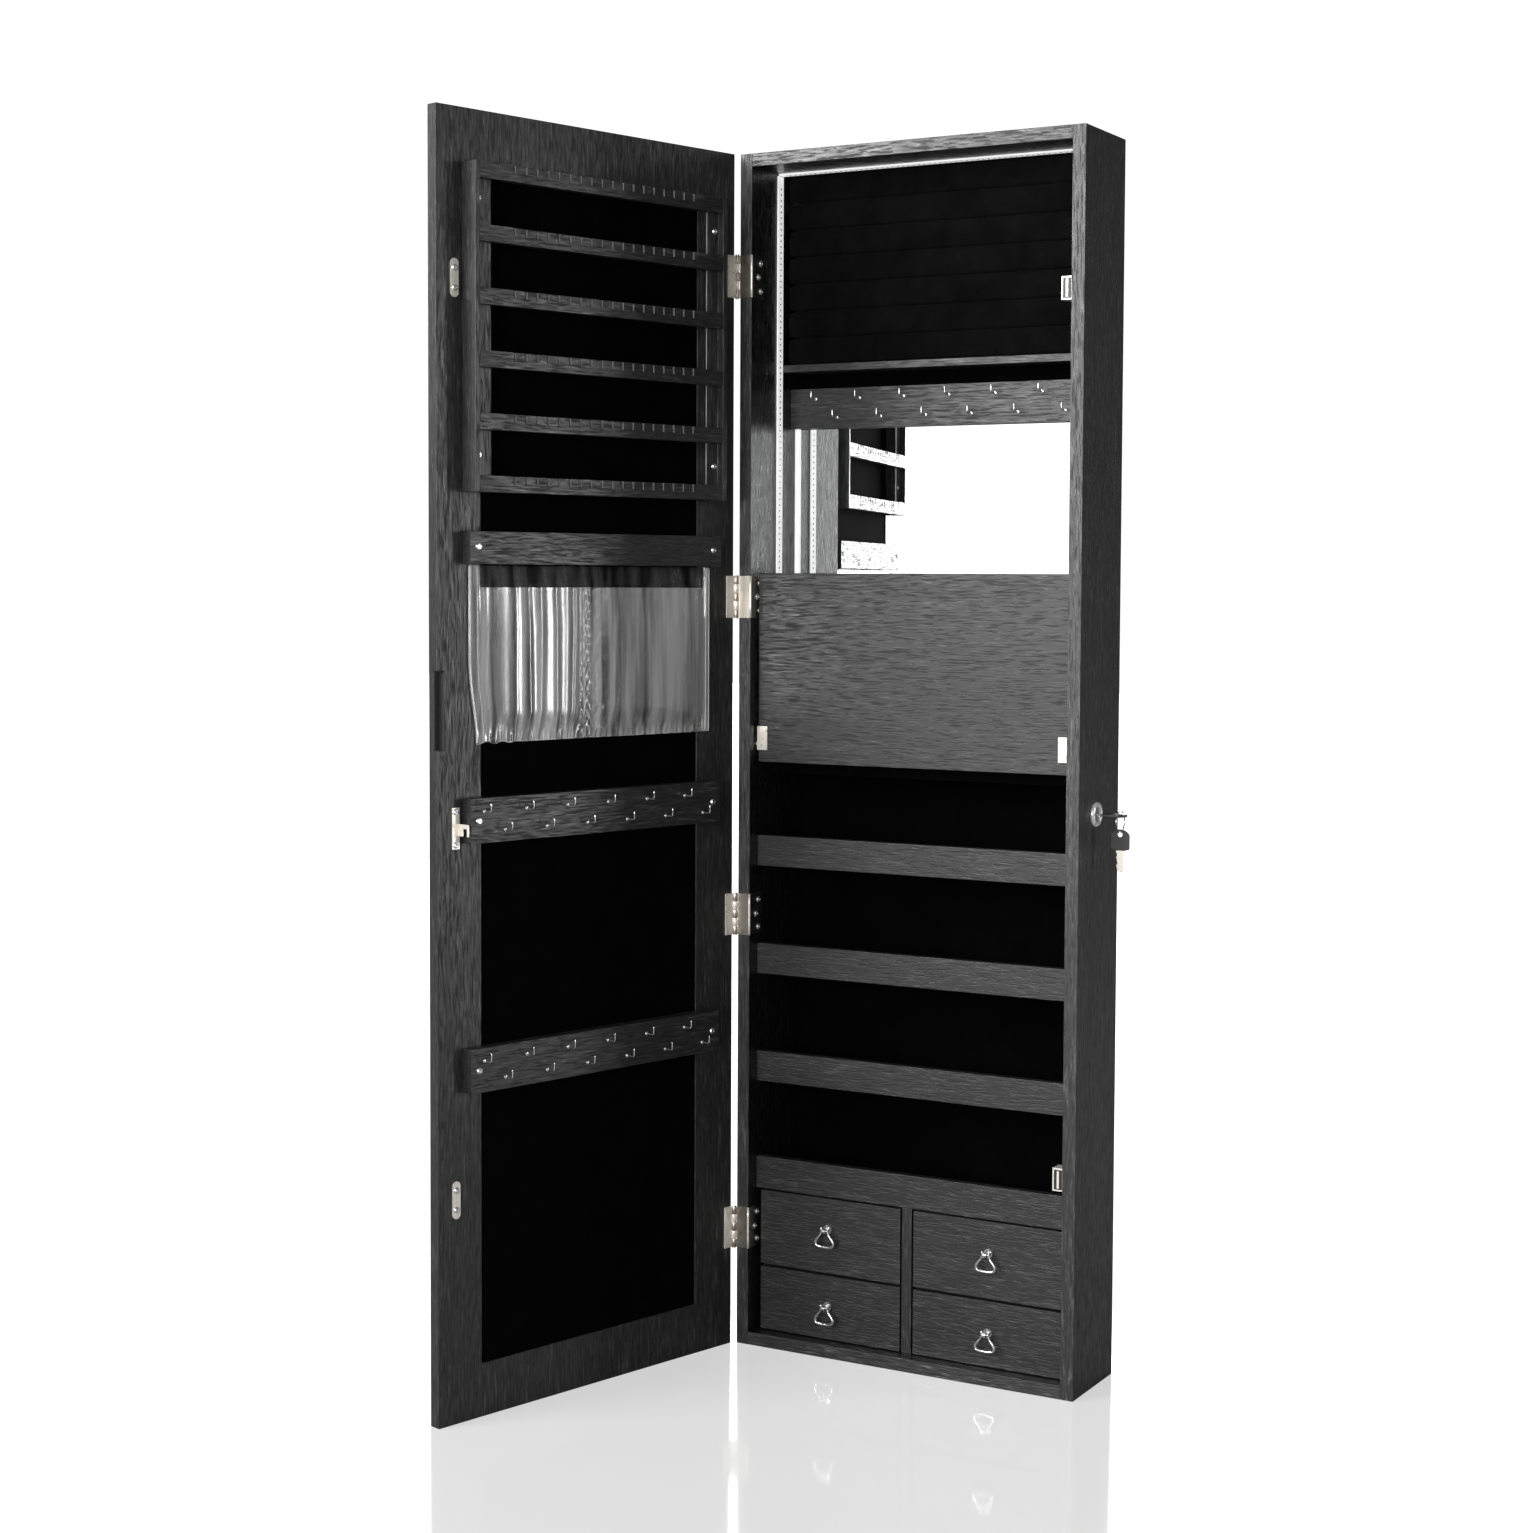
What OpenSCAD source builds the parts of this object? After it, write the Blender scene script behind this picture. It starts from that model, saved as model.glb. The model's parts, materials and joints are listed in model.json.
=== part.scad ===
// Wall-hung jewelry armoire: a shallow cabinet with a full-height mirrored door on butt hinges.
// Row frame: origin at the centre of the cabinet's base, +X towards the lock side,
// -Y towards the front, +Z up. Millimetres. The door is drawn open, as it is stored.

/* [Cabinet] */
// Width over the side boards
body_w = 370; // [350:1:400]
// Depth of the cabinet without its door
body_d = 98; // [96:1:110]
// Height of the cabinet and of the door
body_h = 1200; // [1200:1:1230]
// Thickness of the side, top and bottom boards
board_t = 13; // [11:0.5:15]
// Thickness of the back panel
back_t = 3; // [2.5:0.5:4]
// Thickness of shelves and inner panels
panel_t = 9; // [7:0.5:10]

/* [Door] */
// Thickness of the door
door_t = 12; // [12:0.5:16]
// Gap between the closed door and the cabinet
door_gap = 3.2; // [3.2:0.1:4]
// Width of the door's stiles and rails
stile_w = 50; // [40:1:56]
// How far the door stands open, in degrees
door_open = 105.4; // [0:0.1:170]
// Height of each butt hinge
hinge_h = 42; // [36:1:50]
// Heights of the hinge centres above the base
hinge_z = [120, 440, 760, 1079];

/* [Door storage] */
// Width of the racks and bars on the door
rack_w = 312; // [300:1:314]
// How far the earring rack stands off the door
rack_d = 20; // [18:0.5:21]
// Bottom of the earring rack
rack_z = 855; // [850:1:860]
// Spacing of the six earring rails
rail_pitch = 56.2; // [50:0.2:58]
// Height of an earring rail
rail_h = 15; // [12:0.5:18]
// Spacing of the notches along a rail
notch_pitch = 13; // [11:0.5:15]
// Thickness of the bars that carry hooks and pouch
bar_t = 12; // [10:0.5:13]
// Bottoms of the two necklace bars
door_bar_z = [306.5, 536];
// Height of a necklace bar
door_bar_h = 41; // [38:1:44]
// Bottom of the bar above the pouch
pouch_bar_z = 790; // [788:1:800]
// Bottom of the clear pouch
pouch_z = 627; // [600:1:650]
// Depth of the clear pouch
pouch_d = 13; // [10:0.5:13.5]

/* [Upper compartment] */
// Depth of the ring cushion's face behind the cabinet's front
cushion_in = 66; // [60:1:70]
// Top of the ledge under the ring cushion
ledge_z = 995.5; // [990:0.5:1000]
// Bottom and top of the hook bar in the cabinet
inner_bar_z = [932, 972];
// Distance between neighbouring hooks of one row
hook_pitch = 49.8; // [46:0.2:50]

/* [Fold-down shelf] */
// Bottom and top of the flap
flap_z = [594, 784];
// Depth of the flap's face behind the cabinet's front
flap_in = 12; // [11:0.5:14]
// Height of the flap's pivot above its bottom edge
flap_pivot_up = 18; // [16:0.5:20]

/* [Shelves and drawers] */
// Depth of the lips and drawer fronts behind the cabinet's front
lip_in = 16; // [15:0.5:20]
// Top of the drawer section
deck_z = 158.5; // [150:0.5:165]
// Spacing of the shelves above the drawers
shelf_pitch = 109.9; // [105:0.1:112]
// Height of a shelf's lip
lip_h = 31; // [28:1:34]
// Level between the lower and the upper drawers
drawer_split = 80; // [76:0.5:84]
// Thickness of a drawer front
front_t = 10; // [8:0.5:12]

/* [Lock] */
// Height of the lock above the base
lock_z = 556; // [552:1:560]
// Distance of the lock behind the cabinet's front
lock_in = 40; // [38:1:44]

/* [Hidden] */
$fn = 48;

// Colours
black_wood = [0.13, 0.13, 0.13];
black_velvet = [0.03, 0.03, 0.03];
nickel = [0.78, 0.74, 0.68];
chrome = [0.85, 0.85, 0.87];
glass_grey = [0.80, 0.84, 0.86];
vinyl = [0.75, 0.78, 0.80];
black_plastic = [0.08, 0.08, 0.08];
trim_grey = [0.70, 0.70, 0.70];

// Cabinet planes
left_x = -body_w / 2;
in_x = body_w / 2 - board_t;
front_y = -body_d / 2;
back_y = body_d / 2;
inside_y = back_y - back_t;
top_z = body_h - board_t;
lip_y = front_y + lip_in;
flap_y = front_y + flap_in;
shelf_z = [for (i = [0:3]) deck_z + i * shelf_pitch];

// Door planes, with the door shut
hinge_r = 2.5;
hinge_x = left_x - hinge_r - 0.1;
hinge_y = front_y - door_gap / 2;
door_in = front_y - door_gap;
door_out = door_in - door_t;
open_x = body_w / 2 - stile_w;

// Small hardware
screw_r = 1.6;
head_r = 3.2;
head_h = 1.4;
fit_gap = 0.05;
leaf_t = 1.2;
leaf_gap = 0.2;

// The shared hook shape: a peg that ends in an upturned tip
hook_wire = 1.3;
hook_out = 10;
hook_up = 8;

// Upper compartment
cushion_y = front_y + cushion_in;
cushion_back_y = cushion_y + 16;
mirror_t = 3;
mirror_y = inside_y - mirror_t;
inner_bar_t = 12;
ledge_t = 7.5;

// Flap
flap_pivot_z = flap_z[0] + flap_pivot_up;
flap_pivot_y = flap_y + 2;
flap_w = 2 * in_x - 6;
flap_pin_r = 2;
flap_pin_in = 4;
flap_plate = [10.5, 24];
flap_ear_t = 1;

// Drawers
part_t = 10.8;
reveal = 1.8;
tray_wall = 5;
tray_floor = 3;
tray_gap = 2;
hinge_side_gap = 4;
cell_low = [board_t, drawer_split];
cell_high = [drawer_split, deck_z];
runner_t = 4;
post_out = 7;
eye_r = 2.8;
ring_wire = 1.15;
joint_bead = 0.05;
pull_down = 33;

// Lock, key and spare key
lock_y = front_y + lock_in;
barrel_r = 8.4;
plug_r = 5.5;
cam_len = 34;
cam_down = 14.5;
flange_t = 2.2;
key_hole_x = 208;
bow_r = 9;
bow_web = 5;
split_r = 10.5;
split_wire = 0.8;
split_drop = 6.5;
split_y = lock_y + bow_r - bow_web / 2;
spare_hole_r = 2.6;

// ---------- shared shapes ----------

// A box between two corners
module span(low, high) {
    translate(low) cube(high - low);
}

// A cylinder along X that starts at a point
module rod_x(at, r, len) {
    translate(at) rotate([0, 90, 0]) cylinder(r = r, h = len);
}

// A cylinder along -Y that starts at a point
module rod_front(at, r, len) {
    translate(at) rotate([90, 0, 0]) cylinder(r = r, h = len);
}

// A pan-head screw that points into the surface behind it, its head towards -Y
module screw(len) {
    difference() {
        union() {
            rotate([90, 0, 0]) cylinder(r1 = head_r, r2 = head_r * 0.72, h = head_h);
            rotate([-90, 0, 0]) cylinder(r = screw_r, h = len);
        }
        for (a = [0, 90])
            rotate([0, a, 0]) translate([-1.7, -head_h - 0.01, -0.35]) cube([3.4, 0.7, 0.7]);
    }
}

// A hook whose peg starts at the origin and points to -Y
module hook() {
    rod_front([0, 4, 0], hook_wire / 2, hook_out + 4);
    translate([0, -hook_out, 0]) sphere(r = hook_wire / 2 + joint_bead);
    translate([0, -hook_out, 0]) cylinder(r = hook_wire / 2, h = hook_up);
    rotate([90, 0, 0]) cylinder(r = 2, h = 0.8);
}

// Twelve hooks in two staggered rows, the upper row starting nearer the end
module hook_rows(start_x, step, up_z, low_z) {
    for (i = [0:5]) {
        translate([start_x + i * step, 0, up_z]) hook();
        translate([start_x + (i + 0.49) * step, 0, low_z]) hook();
    }
}

// Turns shapes drawn on the shut door to where the open door is
module on_door() {
    translate([hinge_x, hinge_y, 0]) rotate([0, 0, -door_open])
        translate([-hinge_x, -hinge_y, 0]) children();
}

// Moves a shape drawn facing -Y so that it faces +Y on the door's inner face
module inward(x, out, z) {
    translate([x, door_in + out, z]) rotate([0, 0, 180]) children();
}

// ---------- cabinet ----------

module side_left() {
    color(black_wood) difference() {
        span([left_x, front_y, 0], [-in_x, back_y, body_h]);
        rod_x([-in_x - flap_pin_in - 0.5, flap_pivot_y, flap_pivot_z], flap_pin_r + fit_gap, 10);
    }
}

module side_right() {
    color(black_wood) difference() {
        span([in_x, front_y, 0], [-left_x, back_y, body_h]);
        rod_x([in_x - 1, lock_y, lock_z], barrel_r, board_t + 2);
        rod_x([in_x + flap_pin_in + 0.5 - 10, flap_pivot_y, flap_pivot_z], flap_pin_r + fit_gap, 10);
    }
}

module top_board() {
    color(black_wood) span([-in_x, front_y, top_z], [in_x, back_y, body_h]);
}

module bottom_board() {
    color(black_wood) span([-in_x, front_y, 0], [in_x, back_y, board_t]);
}

// The back has two screw holes to hang it on a wall
wall_hole_r = 3;
wall_hole_x = 120;
wall_hole_z = 1165;

module back_panel() {
    color(black_wood) difference() {
        span([-in_x, inside_y, board_t], [in_x, back_y, top_z]);
        wall_holes();
    }
}

module wall_holes() {
    for (x = [-wall_hole_x, wall_hole_x])
        rod_front([x, back_y + 1, wall_hole_z], wall_hole_r, back_t + panel_t + 2);
}

// Hanging cleat behind the ring cushion, and the stops that hold the lowered flap level
module inner_cleats() {
    stop_w = 14;
    color(black_wood) {
        difference() {
            span([-in_x, inside_y - panel_t, wall_hole_z - 20], [in_x, inside_y, wall_hole_z + 20]);
            wall_holes();
        }
        for (x = [-in_x, in_x - stop_w])
            span([x, flap_y + panel_t + 1, flap_pivot_z + panel_t - 1.6],
                 [x + stop_w, flap_y + panel_t + 13, flap_pivot_z + panel_t + 12]);
    }
}

// Soft pad with rolls, into which rings are pushed
module ring_cushion() {
    rolls = 7;
    pad_low = ledge_z;
    pad_high = top_z - 1;
    roll_h = (pad_high - pad_low) / rolls;
    color(black_velvet) difference() {
        span([-in_x + 0.5, cushion_y, pad_low], [in_x - 0.5, cushion_back_y, pad_high]);
        for (i = [1:rolls - 1])
            span([-in_x, cushion_y - 1, pad_low + i * roll_h - 0.8],
                 [in_x, cushion_y + 7, pad_low + i * roll_h + 0.8]);
    }
}

module ring_ledge() {
    color(black_wood)
        span([-in_x, cushion_y - 4, ledge_z - ledge_t], [in_x, inside_y, ledge_z]);
}

// Pale strip down the left wall and along the underside of the top board, and the bead beside the mirror
module trim_strip() {
    strip_t = 1.5;
    strip_y = [2, cushion_y - 4.5];
    color(trim_grey) {
        span([-in_x, strip_y[0], flap_z[0] + 4], [-in_x + strip_t, strip_y[1], top_z - 2]);
        span([-in_x + strip_t, strip_y[0], top_z - strip_t], [in_x, strip_y[1], top_z]);
        span([-in_x, mirror_y - 2, flap_z[0] + 10], [-in_x + 5, mirror_y, inner_bar_z[0]]);
    }
}

module cabinet_hook_bar() {
    color(black_wood)
        span([-in_x, mirror_y - inner_bar_t, inner_bar_z[0]], [in_x, mirror_y, inner_bar_z[1]]);
}

module cabinet_hooks() {
    color(chrome)
        translate([0, mirror_y - inner_bar_t, 0])
            hook_rows(-142.4, hook_pitch + 0.4, inner_bar_z[0] + 29.5, inner_bar_z[0] + 10.3);
}

module inner_mirror() {
    color(glass_grey)
        span([-in_x + 2, mirror_y, flap_z[0] + 10], [in_x - 2, inside_y, inner_bar_z[1] - 4]);
}

// Floor of the compartment behind the flap
module flap_floor() {
    color(black_velvet)
        span([-in_x, flap_y + panel_t + 12, flap_z[0] - 12], [in_x, inside_y, flap_z[0] - 2]);
}

module shelf_boards() {
    color(black_velvet) for (z = shelf_z)
        span([-in_x, lip_y + panel_t, z], [in_x, inside_y, z + panel_t]);
}

module shelf_lips() {
    color(black_wood) for (i = [0:3])
        span([-in_x, lip_y, shelf_z[i]], [in_x, lip_y + panel_t, shelf_z[i] + lip_h + (i == 0 ? 1.7 : 0)]);
}

module drawer_partitions() {
    color(black_wood) {
        span([-part_t / 2, lip_y, board_t], [part_t / 2, inside_y, deck_z]);
        for (side = [-1, 1])
            span([min(side * part_t / 2, side * in_x), lip_y + front_t + 1, drawer_split - runner_t / 2],
                 [max(side * part_t / 2, side * in_x), inside_y, drawer_split + runner_t / 2]);
    }
}

// Magnetic catches on the right wall, which hold the shut door by its strike plates
catch_z = [210.5, 1050];
catch_h = 22;

module magnet_catches() {
    catch_w = 10.5;
    catch_d = 16;
    color(nickel) for (z = catch_z) {
        difference() {
            span([in_x - catch_w, front_y + 1, z - catch_h / 2], [in_x, front_y + catch_d, z + catch_h / 2]);
            span([in_x - catch_w + 2.2, front_y, z - catch_h / 2 + 2.2],
                 [in_x - 2.2, front_y + 6, z + catch_h / 2 - 2.2]);
        }
        span([in_x - catch_w + 2.6, front_y + 1.6, z - catch_h / 2 + 2.6],
             [in_x - 2.6, front_y + 6, z + catch_h / 2 - 2.6]);
    }
}

// Butt hinges: three knuckles on the cabinet leaf, two on the door leaf
knuckles = 5;
knuckle_h = hinge_h / knuckles;
pin_r = 1.2;
leaf_x = left_x + 0.2;

module knuckle_row(which, z0) {
    for (i = which)
        translate([hinge_x, hinge_y, z0 + i * knuckle_h + leaf_gap / 2])
            cylinder(r = hinge_r, h = knuckle_h - leaf_gap);
}

module pin_bore(z0) {
    translate([hinge_x, hinge_y, z0 - 1]) cylinder(r = pin_r + fit_gap, h = hinge_h + 2);
}

// The tabs that join a leaf to its own knuckles
module leaf_tabs(which, z0, y) {
    for (i = which)
        span([hinge_x, y, z0 + i * knuckle_h + leaf_gap / 2],
             [leaf_x + 0.1, y + leaf_t, z0 + (i + 1) * knuckle_h - leaf_gap / 2]);
}

module cabinet_hinge_leaves() {
    wrap_d = 22;
    color(nickel) for (zc = hinge_z) {
        z0 = zc - hinge_h / 2;
        difference() {
            union() {
                knuckle_row([0, 2, 4], z0);
                leaf_tabs([0, 2, 4], z0, front_y - leaf_t);
                span([leaf_x, front_y - leaf_t, z0], [-in_x + leaf_t, front_y, z0 + hinge_h]);
                span([-in_x, front_y - leaf_t, z0], [-in_x + leaf_t, front_y + wrap_d, z0 + hinge_h]);
            }
            pin_bore(z0);
        }
    }
}

// Each pin is held in the end knuckles and stands in free bores in the others
module hinge_pins() {
    color(nickel) for (zc = hinge_z) {
        translate([hinge_x, hinge_y, zc - hinge_h / 2]) cylinder(r = pin_r, h = hinge_h);
        for (z = [zc - hinge_h / 2 - 1, zc + hinge_h / 2])
            translate([hinge_x, hinge_y, z]) cylinder(r = 2.1, h = 1);
    }
}

// Screws of the cabinet hinge leaves and of the hook bar
module cabinet_screws() {
    screw_step = 13.8;
    color(chrome) for (zc = hinge_z, i = [-1:1])
        translate([-in_x + leaf_t, front_y + (i == 0 ? 11.5 : 16), zc + i * screw_step])
            rotate([0, 0, 90]) screw(8);
}

// Cam lock: flange and threaded barrel through the right side, with its nut
module lock_body() {
    nut_t = 3.4;
    color(chrome) difference() {
        union() {
            rod_x([-left_x, lock_y, lock_z], 11.5, flange_t);
            rod_x([in_x - nut_t - 1.8, lock_y, lock_z], barrel_r, board_t + nut_t + 1.8);
            translate([in_x - nut_t, lock_y, lock_z]) rotate([0, 90, 0])
                cylinder(r = 12, h = nut_t, $fn = 6);
        }
        rod_x([in_x - 10, lock_y, lock_z], plug_r + fit_gap, board_t + 20);
    }
}

// ---------- door ----------

finger_z = [621, 694];
finger_in = 8;
finger_deep = 7;

module door_stile_hinge() {
    color(black_wood) on_door() span([left_x, door_out, 0], [-open_x, door_in, body_h]);
}

module door_stile_free() {
    color(black_wood) on_door() difference() {
        span([open_x, door_out, 0], [-left_x, door_in, body_h]);
        span([-left_x - finger_in, door_in - finger_deep, finger_z[0]],
             [-left_x + 1, door_in + 1, finger_z[1]]);
    }
}

module door_rails() {
    color(black_wood) on_door() for (z = [0, body_h - stile_w])
        span([-open_x, door_out, z], [open_x, door_in, z + stile_w]);
}

mirror_set = 1;

module door_mirror() {
    color(glass_grey) on_door()
        span([-open_x, door_out + mirror_set, stile_w], [open_x, door_out + mirror_set + mirror_t, body_h - stile_w]);
}

module door_backer() {
    color(black_velvet) on_door()
        span([-open_x, door_out + mirror_set + mirror_t, stile_w], [open_x, door_in - 1.5, body_h - stile_w]);
}

// Earring rack: two end boards, two screwed strips and six notched rails
rail_count = 6;
end_board_t = 5;
strip_w = [19, 15];
rack_top = rack_z + (rail_count - 1) * rail_pitch + rail_h;

module rack_frame() {
    color(black_wood) on_door() for (side = [0, 1]) mirror([side, 0, 0]) {
        span([rack_w / 2 - end_board_t, door_in, rack_z], [rack_w / 2, door_in + rack_d, rack_top]);
        span([rack_w / 2 - end_board_t - strip_w[side], door_in, rack_z],
             [rack_w / 2 - end_board_t, door_in + bar_t, rack_top]);
    }
}

module rack_rails() {
    notch_w = 2;
    notch_count = 18;
    rail_back = door_in + bar_t;
    first_x = -(notch_count - 1) / 2 * notch_pitch - 1;
    color(black_wood) on_door() for (i = [0:rail_count - 1]) {
        z = rack_z + i * rail_pitch;
        difference() {
            span([-rack_w / 2 + end_board_t, rail_back, z], [rack_w / 2 - end_board_t, door_in + rack_d, z + rail_h]);
            for (k = [0:notch_count - 1])
                span([first_x + k * notch_pitch, rail_back - 1, z + rail_h * 0.5],
                     [first_x + k * notch_pitch + notch_w, door_in + rack_d + 1, z + rail_h + 1]);
        }
    }
}

module pouch_bar() {
    color(black_wood) on_door()
        span([-rack_w / 2, door_in, pouch_bar_z], [rack_w / 2, door_in + bar_t, pouch_bar_z + 30]);
}

// Clear pouch with two pockets: its back reaches the bar and its front ends below the band
module pouch() {
    skin = 0.8;
    band_h = 20;
    pouch_top = pouch_bar_z - 1;
    pouch_half = 150;
    pocket_mid = 8;
    color(vinyl) on_door() difference() {
        span([-pouch_half, door_in + 0.2, pouch_z], [pouch_half, door_in + pouch_d, pouch_top]);
        for (pocket = [[-pouch_half + skin, pocket_mid - skin / 2], [pocket_mid + skin / 2, pouch_half - skin]])
            span([pocket[0], door_in + 0.2 + skin, pouch_z + skin],
                 [pocket[1], door_in + pouch_d - skin, pouch_top + 1]);
        span([-pouch_half - 1, door_in + 0.2 + skin, pouch_top - band_h],
             [pouch_half + 1, door_in + pouch_d + 1, pouch_top + 1]);
    }
}

module door_hook_bars() {
    color(black_wood) on_door() for (z = door_bar_z)
        span([-rack_w / 2, door_in, z], [rack_w / 2, door_in + bar_t, z + door_bar_h]);
}

module door_hooks() {
    color(chrome) on_door() for (z = door_bar_z)
        inward(0, bar_t, z) hook_rows(-140.5, hook_pitch, 29, 10.8);
}

// Rounded steel plates that meet the magnetic catches
strike_x = 164.8;
strike_z = [208.5, 1047];

module strike_plates() {
    color(nickel) on_door() for (z = strike_z)
        inward(strike_x, 0, z) {
            span([-4.4, -leaf_t, -13], [4.4, 0, 13]);
            for (end = [-13, 13])
                rod_front([0, 0, end], 4.4, leaf_t);
        }
}

// Plate with a notched tab, which the lock's cam hooks into
module lock_hook() {
    plate_x = [160.5, 168.7];
    tab_out = 15;
    tab_z = [543, 554];
    color(nickel) on_door() {
        span([plate_x[0], door_in, 531], [plate_x[1], door_in + leaf_t, 569]);
        difference() {
            span([plate_x[0], door_in, tab_z[0]], [plate_x[0] + leaf_t, door_in + tab_out, tab_z[1]]);
            span([plate_x[0] - 1, door_in + 6.7, tab_z[0] - 1], [plate_x[1], door_in + tab_out - 2, tab_z[0] + 7]);
        }
    }
}

// Metal liner of the finger notch on the door's free edge
module finger_pull() {
    liner = 0.8;
    color(black_plastic) on_door() difference() {
        span([-left_x - finger_in, door_in - finger_deep, finger_z[0]], [-left_x, door_in, finger_z[1]]);
        span([-left_x - finger_in + liner, door_in - finger_deep + liner, finger_z[0] + liner],
             [-left_x + 1, door_in + 1, finger_z[1] - liner]);
    }
}

module door_hinge_leaves() {
    leaf_end = left_x + 10;
    color(nickel) on_door() for (zc = hinge_z) {
        z0 = zc - hinge_h / 2;
        difference() {
            union() {
                knuckle_row([1, 3], z0);
                leaf_tabs([1, 3], z0, door_in);
                span([leaf_x, door_in, z0], [leaf_end, door_in + leaf_t, z0 + hinge_h]);
            }
            pin_bore(z0);
        }
    }
}

module door_screws() {
    screw_x = rack_w / 2 - 9.5;
    through = bar_t + 8;
    levels = concat([rack_z + 33.6, rack_top - 32.3, pouch_bar_z + 16],
                    [for (z = door_bar_z) z + door_bar_h / 2]);
    plates = [for (z = strike_z, up = [-9, 9]) z + up];
    color(chrome) on_door() {
        for (side = [-1, 1], z = levels)
            inward(side * screw_x, bar_t, z) screw(through);
        for (z = concat(plates, [535, 565]))
            inward(strike_x, leaf_t, z) screw(6);
    }
}

// ---------- fold-down shelf ----------

module flap_panel() {
    color(black_wood)
        span([-flap_w / 2, flap_y, flap_z[0]], [flap_w / 2, flap_y + panel_t, flap_z[1]]);
}

// Corner plates whose pins stand in the cabinet's sides
module flap_pivots() {
    plate_low = flap_pivot_z - 6;
    plate_in = flap_w / 2 - flap_plate[0];
    ear = flap_w / 2 + flap_ear_t;
    color(nickel) for (side = [0, 1]) mirror([side, 0, 0]) {
        span([plate_in, flap_y - flap_ear_t, plate_low], [ear, flap_y, plate_low + flap_plate[1]]);
        span([flap_w / 2, flap_y, plate_low], [ear, flap_y + 6, plate_low + flap_plate[1]]);
        rod_x([flap_w / 2, flap_pivot_y, flap_pivot_z], flap_pin_r, in_x + flap_pin_in - flap_w / 2);
        rod_front([plate_in + 6, flap_y - flap_ear_t, flap_pivot_z], 2.4, 0.8);
    }
}

// ---------- drawers ----------

// side is -1 for left and 1 for right; cell holds the bottom and top of its space.
// The left drawers are narrower, to pass the hinge's leaf and screws.
function outer_x(side, gap) = side * (in_x - gap) - (side < 0 ? -hinge_side_gap : 0);

module drawer_front(side, cell) {
    low = min(side * (part_t / 2 + reveal), outer_x(side, reveal));
    high = max(side * (part_t / 2 + reveal), outer_x(side, reveal));
    color(black_wood)
        span([low, lip_y, cell[0] + reveal / 2], [high, lip_y + front_t, cell[1] - reveal]);
}

module drawer_tray(side, cell) {
    low = min(side * (part_t / 2 + tray_gap), outer_x(side, tray_gap));
    high = max(side * (part_t / 2 + tray_gap), outer_x(side, tray_gap));
    base = cell[0] + (cell[0] == board_t ? 1 : runner_t / 2 + 1);
    rim = cell[1] - 12;
    color(black_velvet) difference() {
        span([low, lip_y + front_t, base], [high, inside_y - 2, rim]);
        span([low + tray_wall, lip_y + front_t + tray_wall, base + tray_floor],
             [high - tray_wall, inside_y - 2 - tray_wall, rim + 1]);
    }
}

function pull_x(side) = side * (part_t / 2 + in_x) / 2;
function pull_z(cell) = cell[1] - pull_down;

// Rosette, stem and eye that the ring hangs in
module drawer_post(side, cell) {
    eye_w = 3;
    color(chrome) translate([pull_x(side), lip_y, pull_z(cell)]) difference() {
        union() {
            rod_front([0, 0, 0], 4.6, 1.2);
            rod_front([0, 0, 0], 1.8, post_out - 1.9);
            rod_x([-eye_w / 2, -post_out, 0], eye_r, eye_w);
        }
        rod_x([-eye_w, -post_out, 0], ring_wire + fit_gap, 2 * eye_w);
    }
}

// A straight piece of round wire in the XZ plane, with a ball on its far end
module wire_piece(from, to) {
    step = to - from;
    translate([from[0], 0, from[1]]) rotate([0, atan2(step[0], step[1]), 0])
        cylinder(r = ring_wire, h = norm(step), $fn = 24);
    translate([to[0], 0, to[1]]) sphere(r = ring_wire + joint_bead, $fn = 24);
}

// Bell-shaped drop ring: a straight top bar through the eye, a neck and a broad foot
module drawer_ring(side, cell) {
    bell = [[-3, 0], [3, 0], [3.8, -5.5], [7.6, -10], [8.5, -13.5], [7.2, -16.4], [4.6, -17.5],
            [-4.6, -17.5], [-7.2, -16.4], [-8.5, -13.5], [-7.6, -10], [-3.8, -5.5]];
    color(chrome) translate([pull_x(side), lip_y - post_out, pull_z(cell)])
        for (i = [0:len(bell) - 1]) wire_piece(bell[i], bell[(i + 1) % len(bell)]);
}

// ---------- lock, key and spare key ----------

// Plug with its keyway, and the hooked cam on its inner end
module lock_plug() {
    plug_in = in_x - 7.2;
    cam_t = 2;
    way_w = 7.4;
    way_t = 2.2;
    color(chrome) translate([0, lock_y, lock_z]) {
        difference() {
            rod_x([plug_in, 0, 0], plug_r, -left_x + flange_t - plug_in);
            span([plug_in + 3, -way_w / 2, -way_t / 2], [-left_x + flange_t + 1, way_w / 2, way_t / 2]);
        }
        rotate([cam_down, 0, 0]) {
            span([plug_in - cam_t, -4, -cam_len - 2], [plug_in, 4, 0]);
            rod_x([plug_in - cam_t, 0, 0], 7, cam_t);
            rod_x([plug_in - cam_t - 3.4, 0, -cam_len], 1.2, 3.5);
        }
    }
}

// Key in the lock: a flat blade and a broad bow with an eye
module key() {
    blade_w = 6.8;
    blade_t = 1.7;
    bow_t = 3;
    color(black_plastic) translate([0, lock_y, lock_z]) {
        span([in_x - 3, -blade_w / 2, -blade_t / 2], [195, blade_w / 2, blade_t / 2]);
        difference() {
            translate([0, 0, -bow_t / 2]) linear_extrude(bow_t) union() {
                translate([key_hole_x, 0]) circle(r = bow_r);
                translate([193, -bow_r + 1]) square([key_hole_x - 193, 2 * bow_r - 2]);
            }
            translate([key_hole_x, 0, -bow_t]) cylinder(r = bow_r - bow_web, h = 2 * bow_t);
        }
    }
}

// Split ring round the bow's rim
module key_ring() {
    color(chrome) translate([key_hole_x, split_y, lock_z - split_drop]) rotate([0, 90, 0])
        rotate_extrude($fn = 64) translate([split_r, 0]) circle(r = split_wire, $fn = 24);
}

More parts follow.
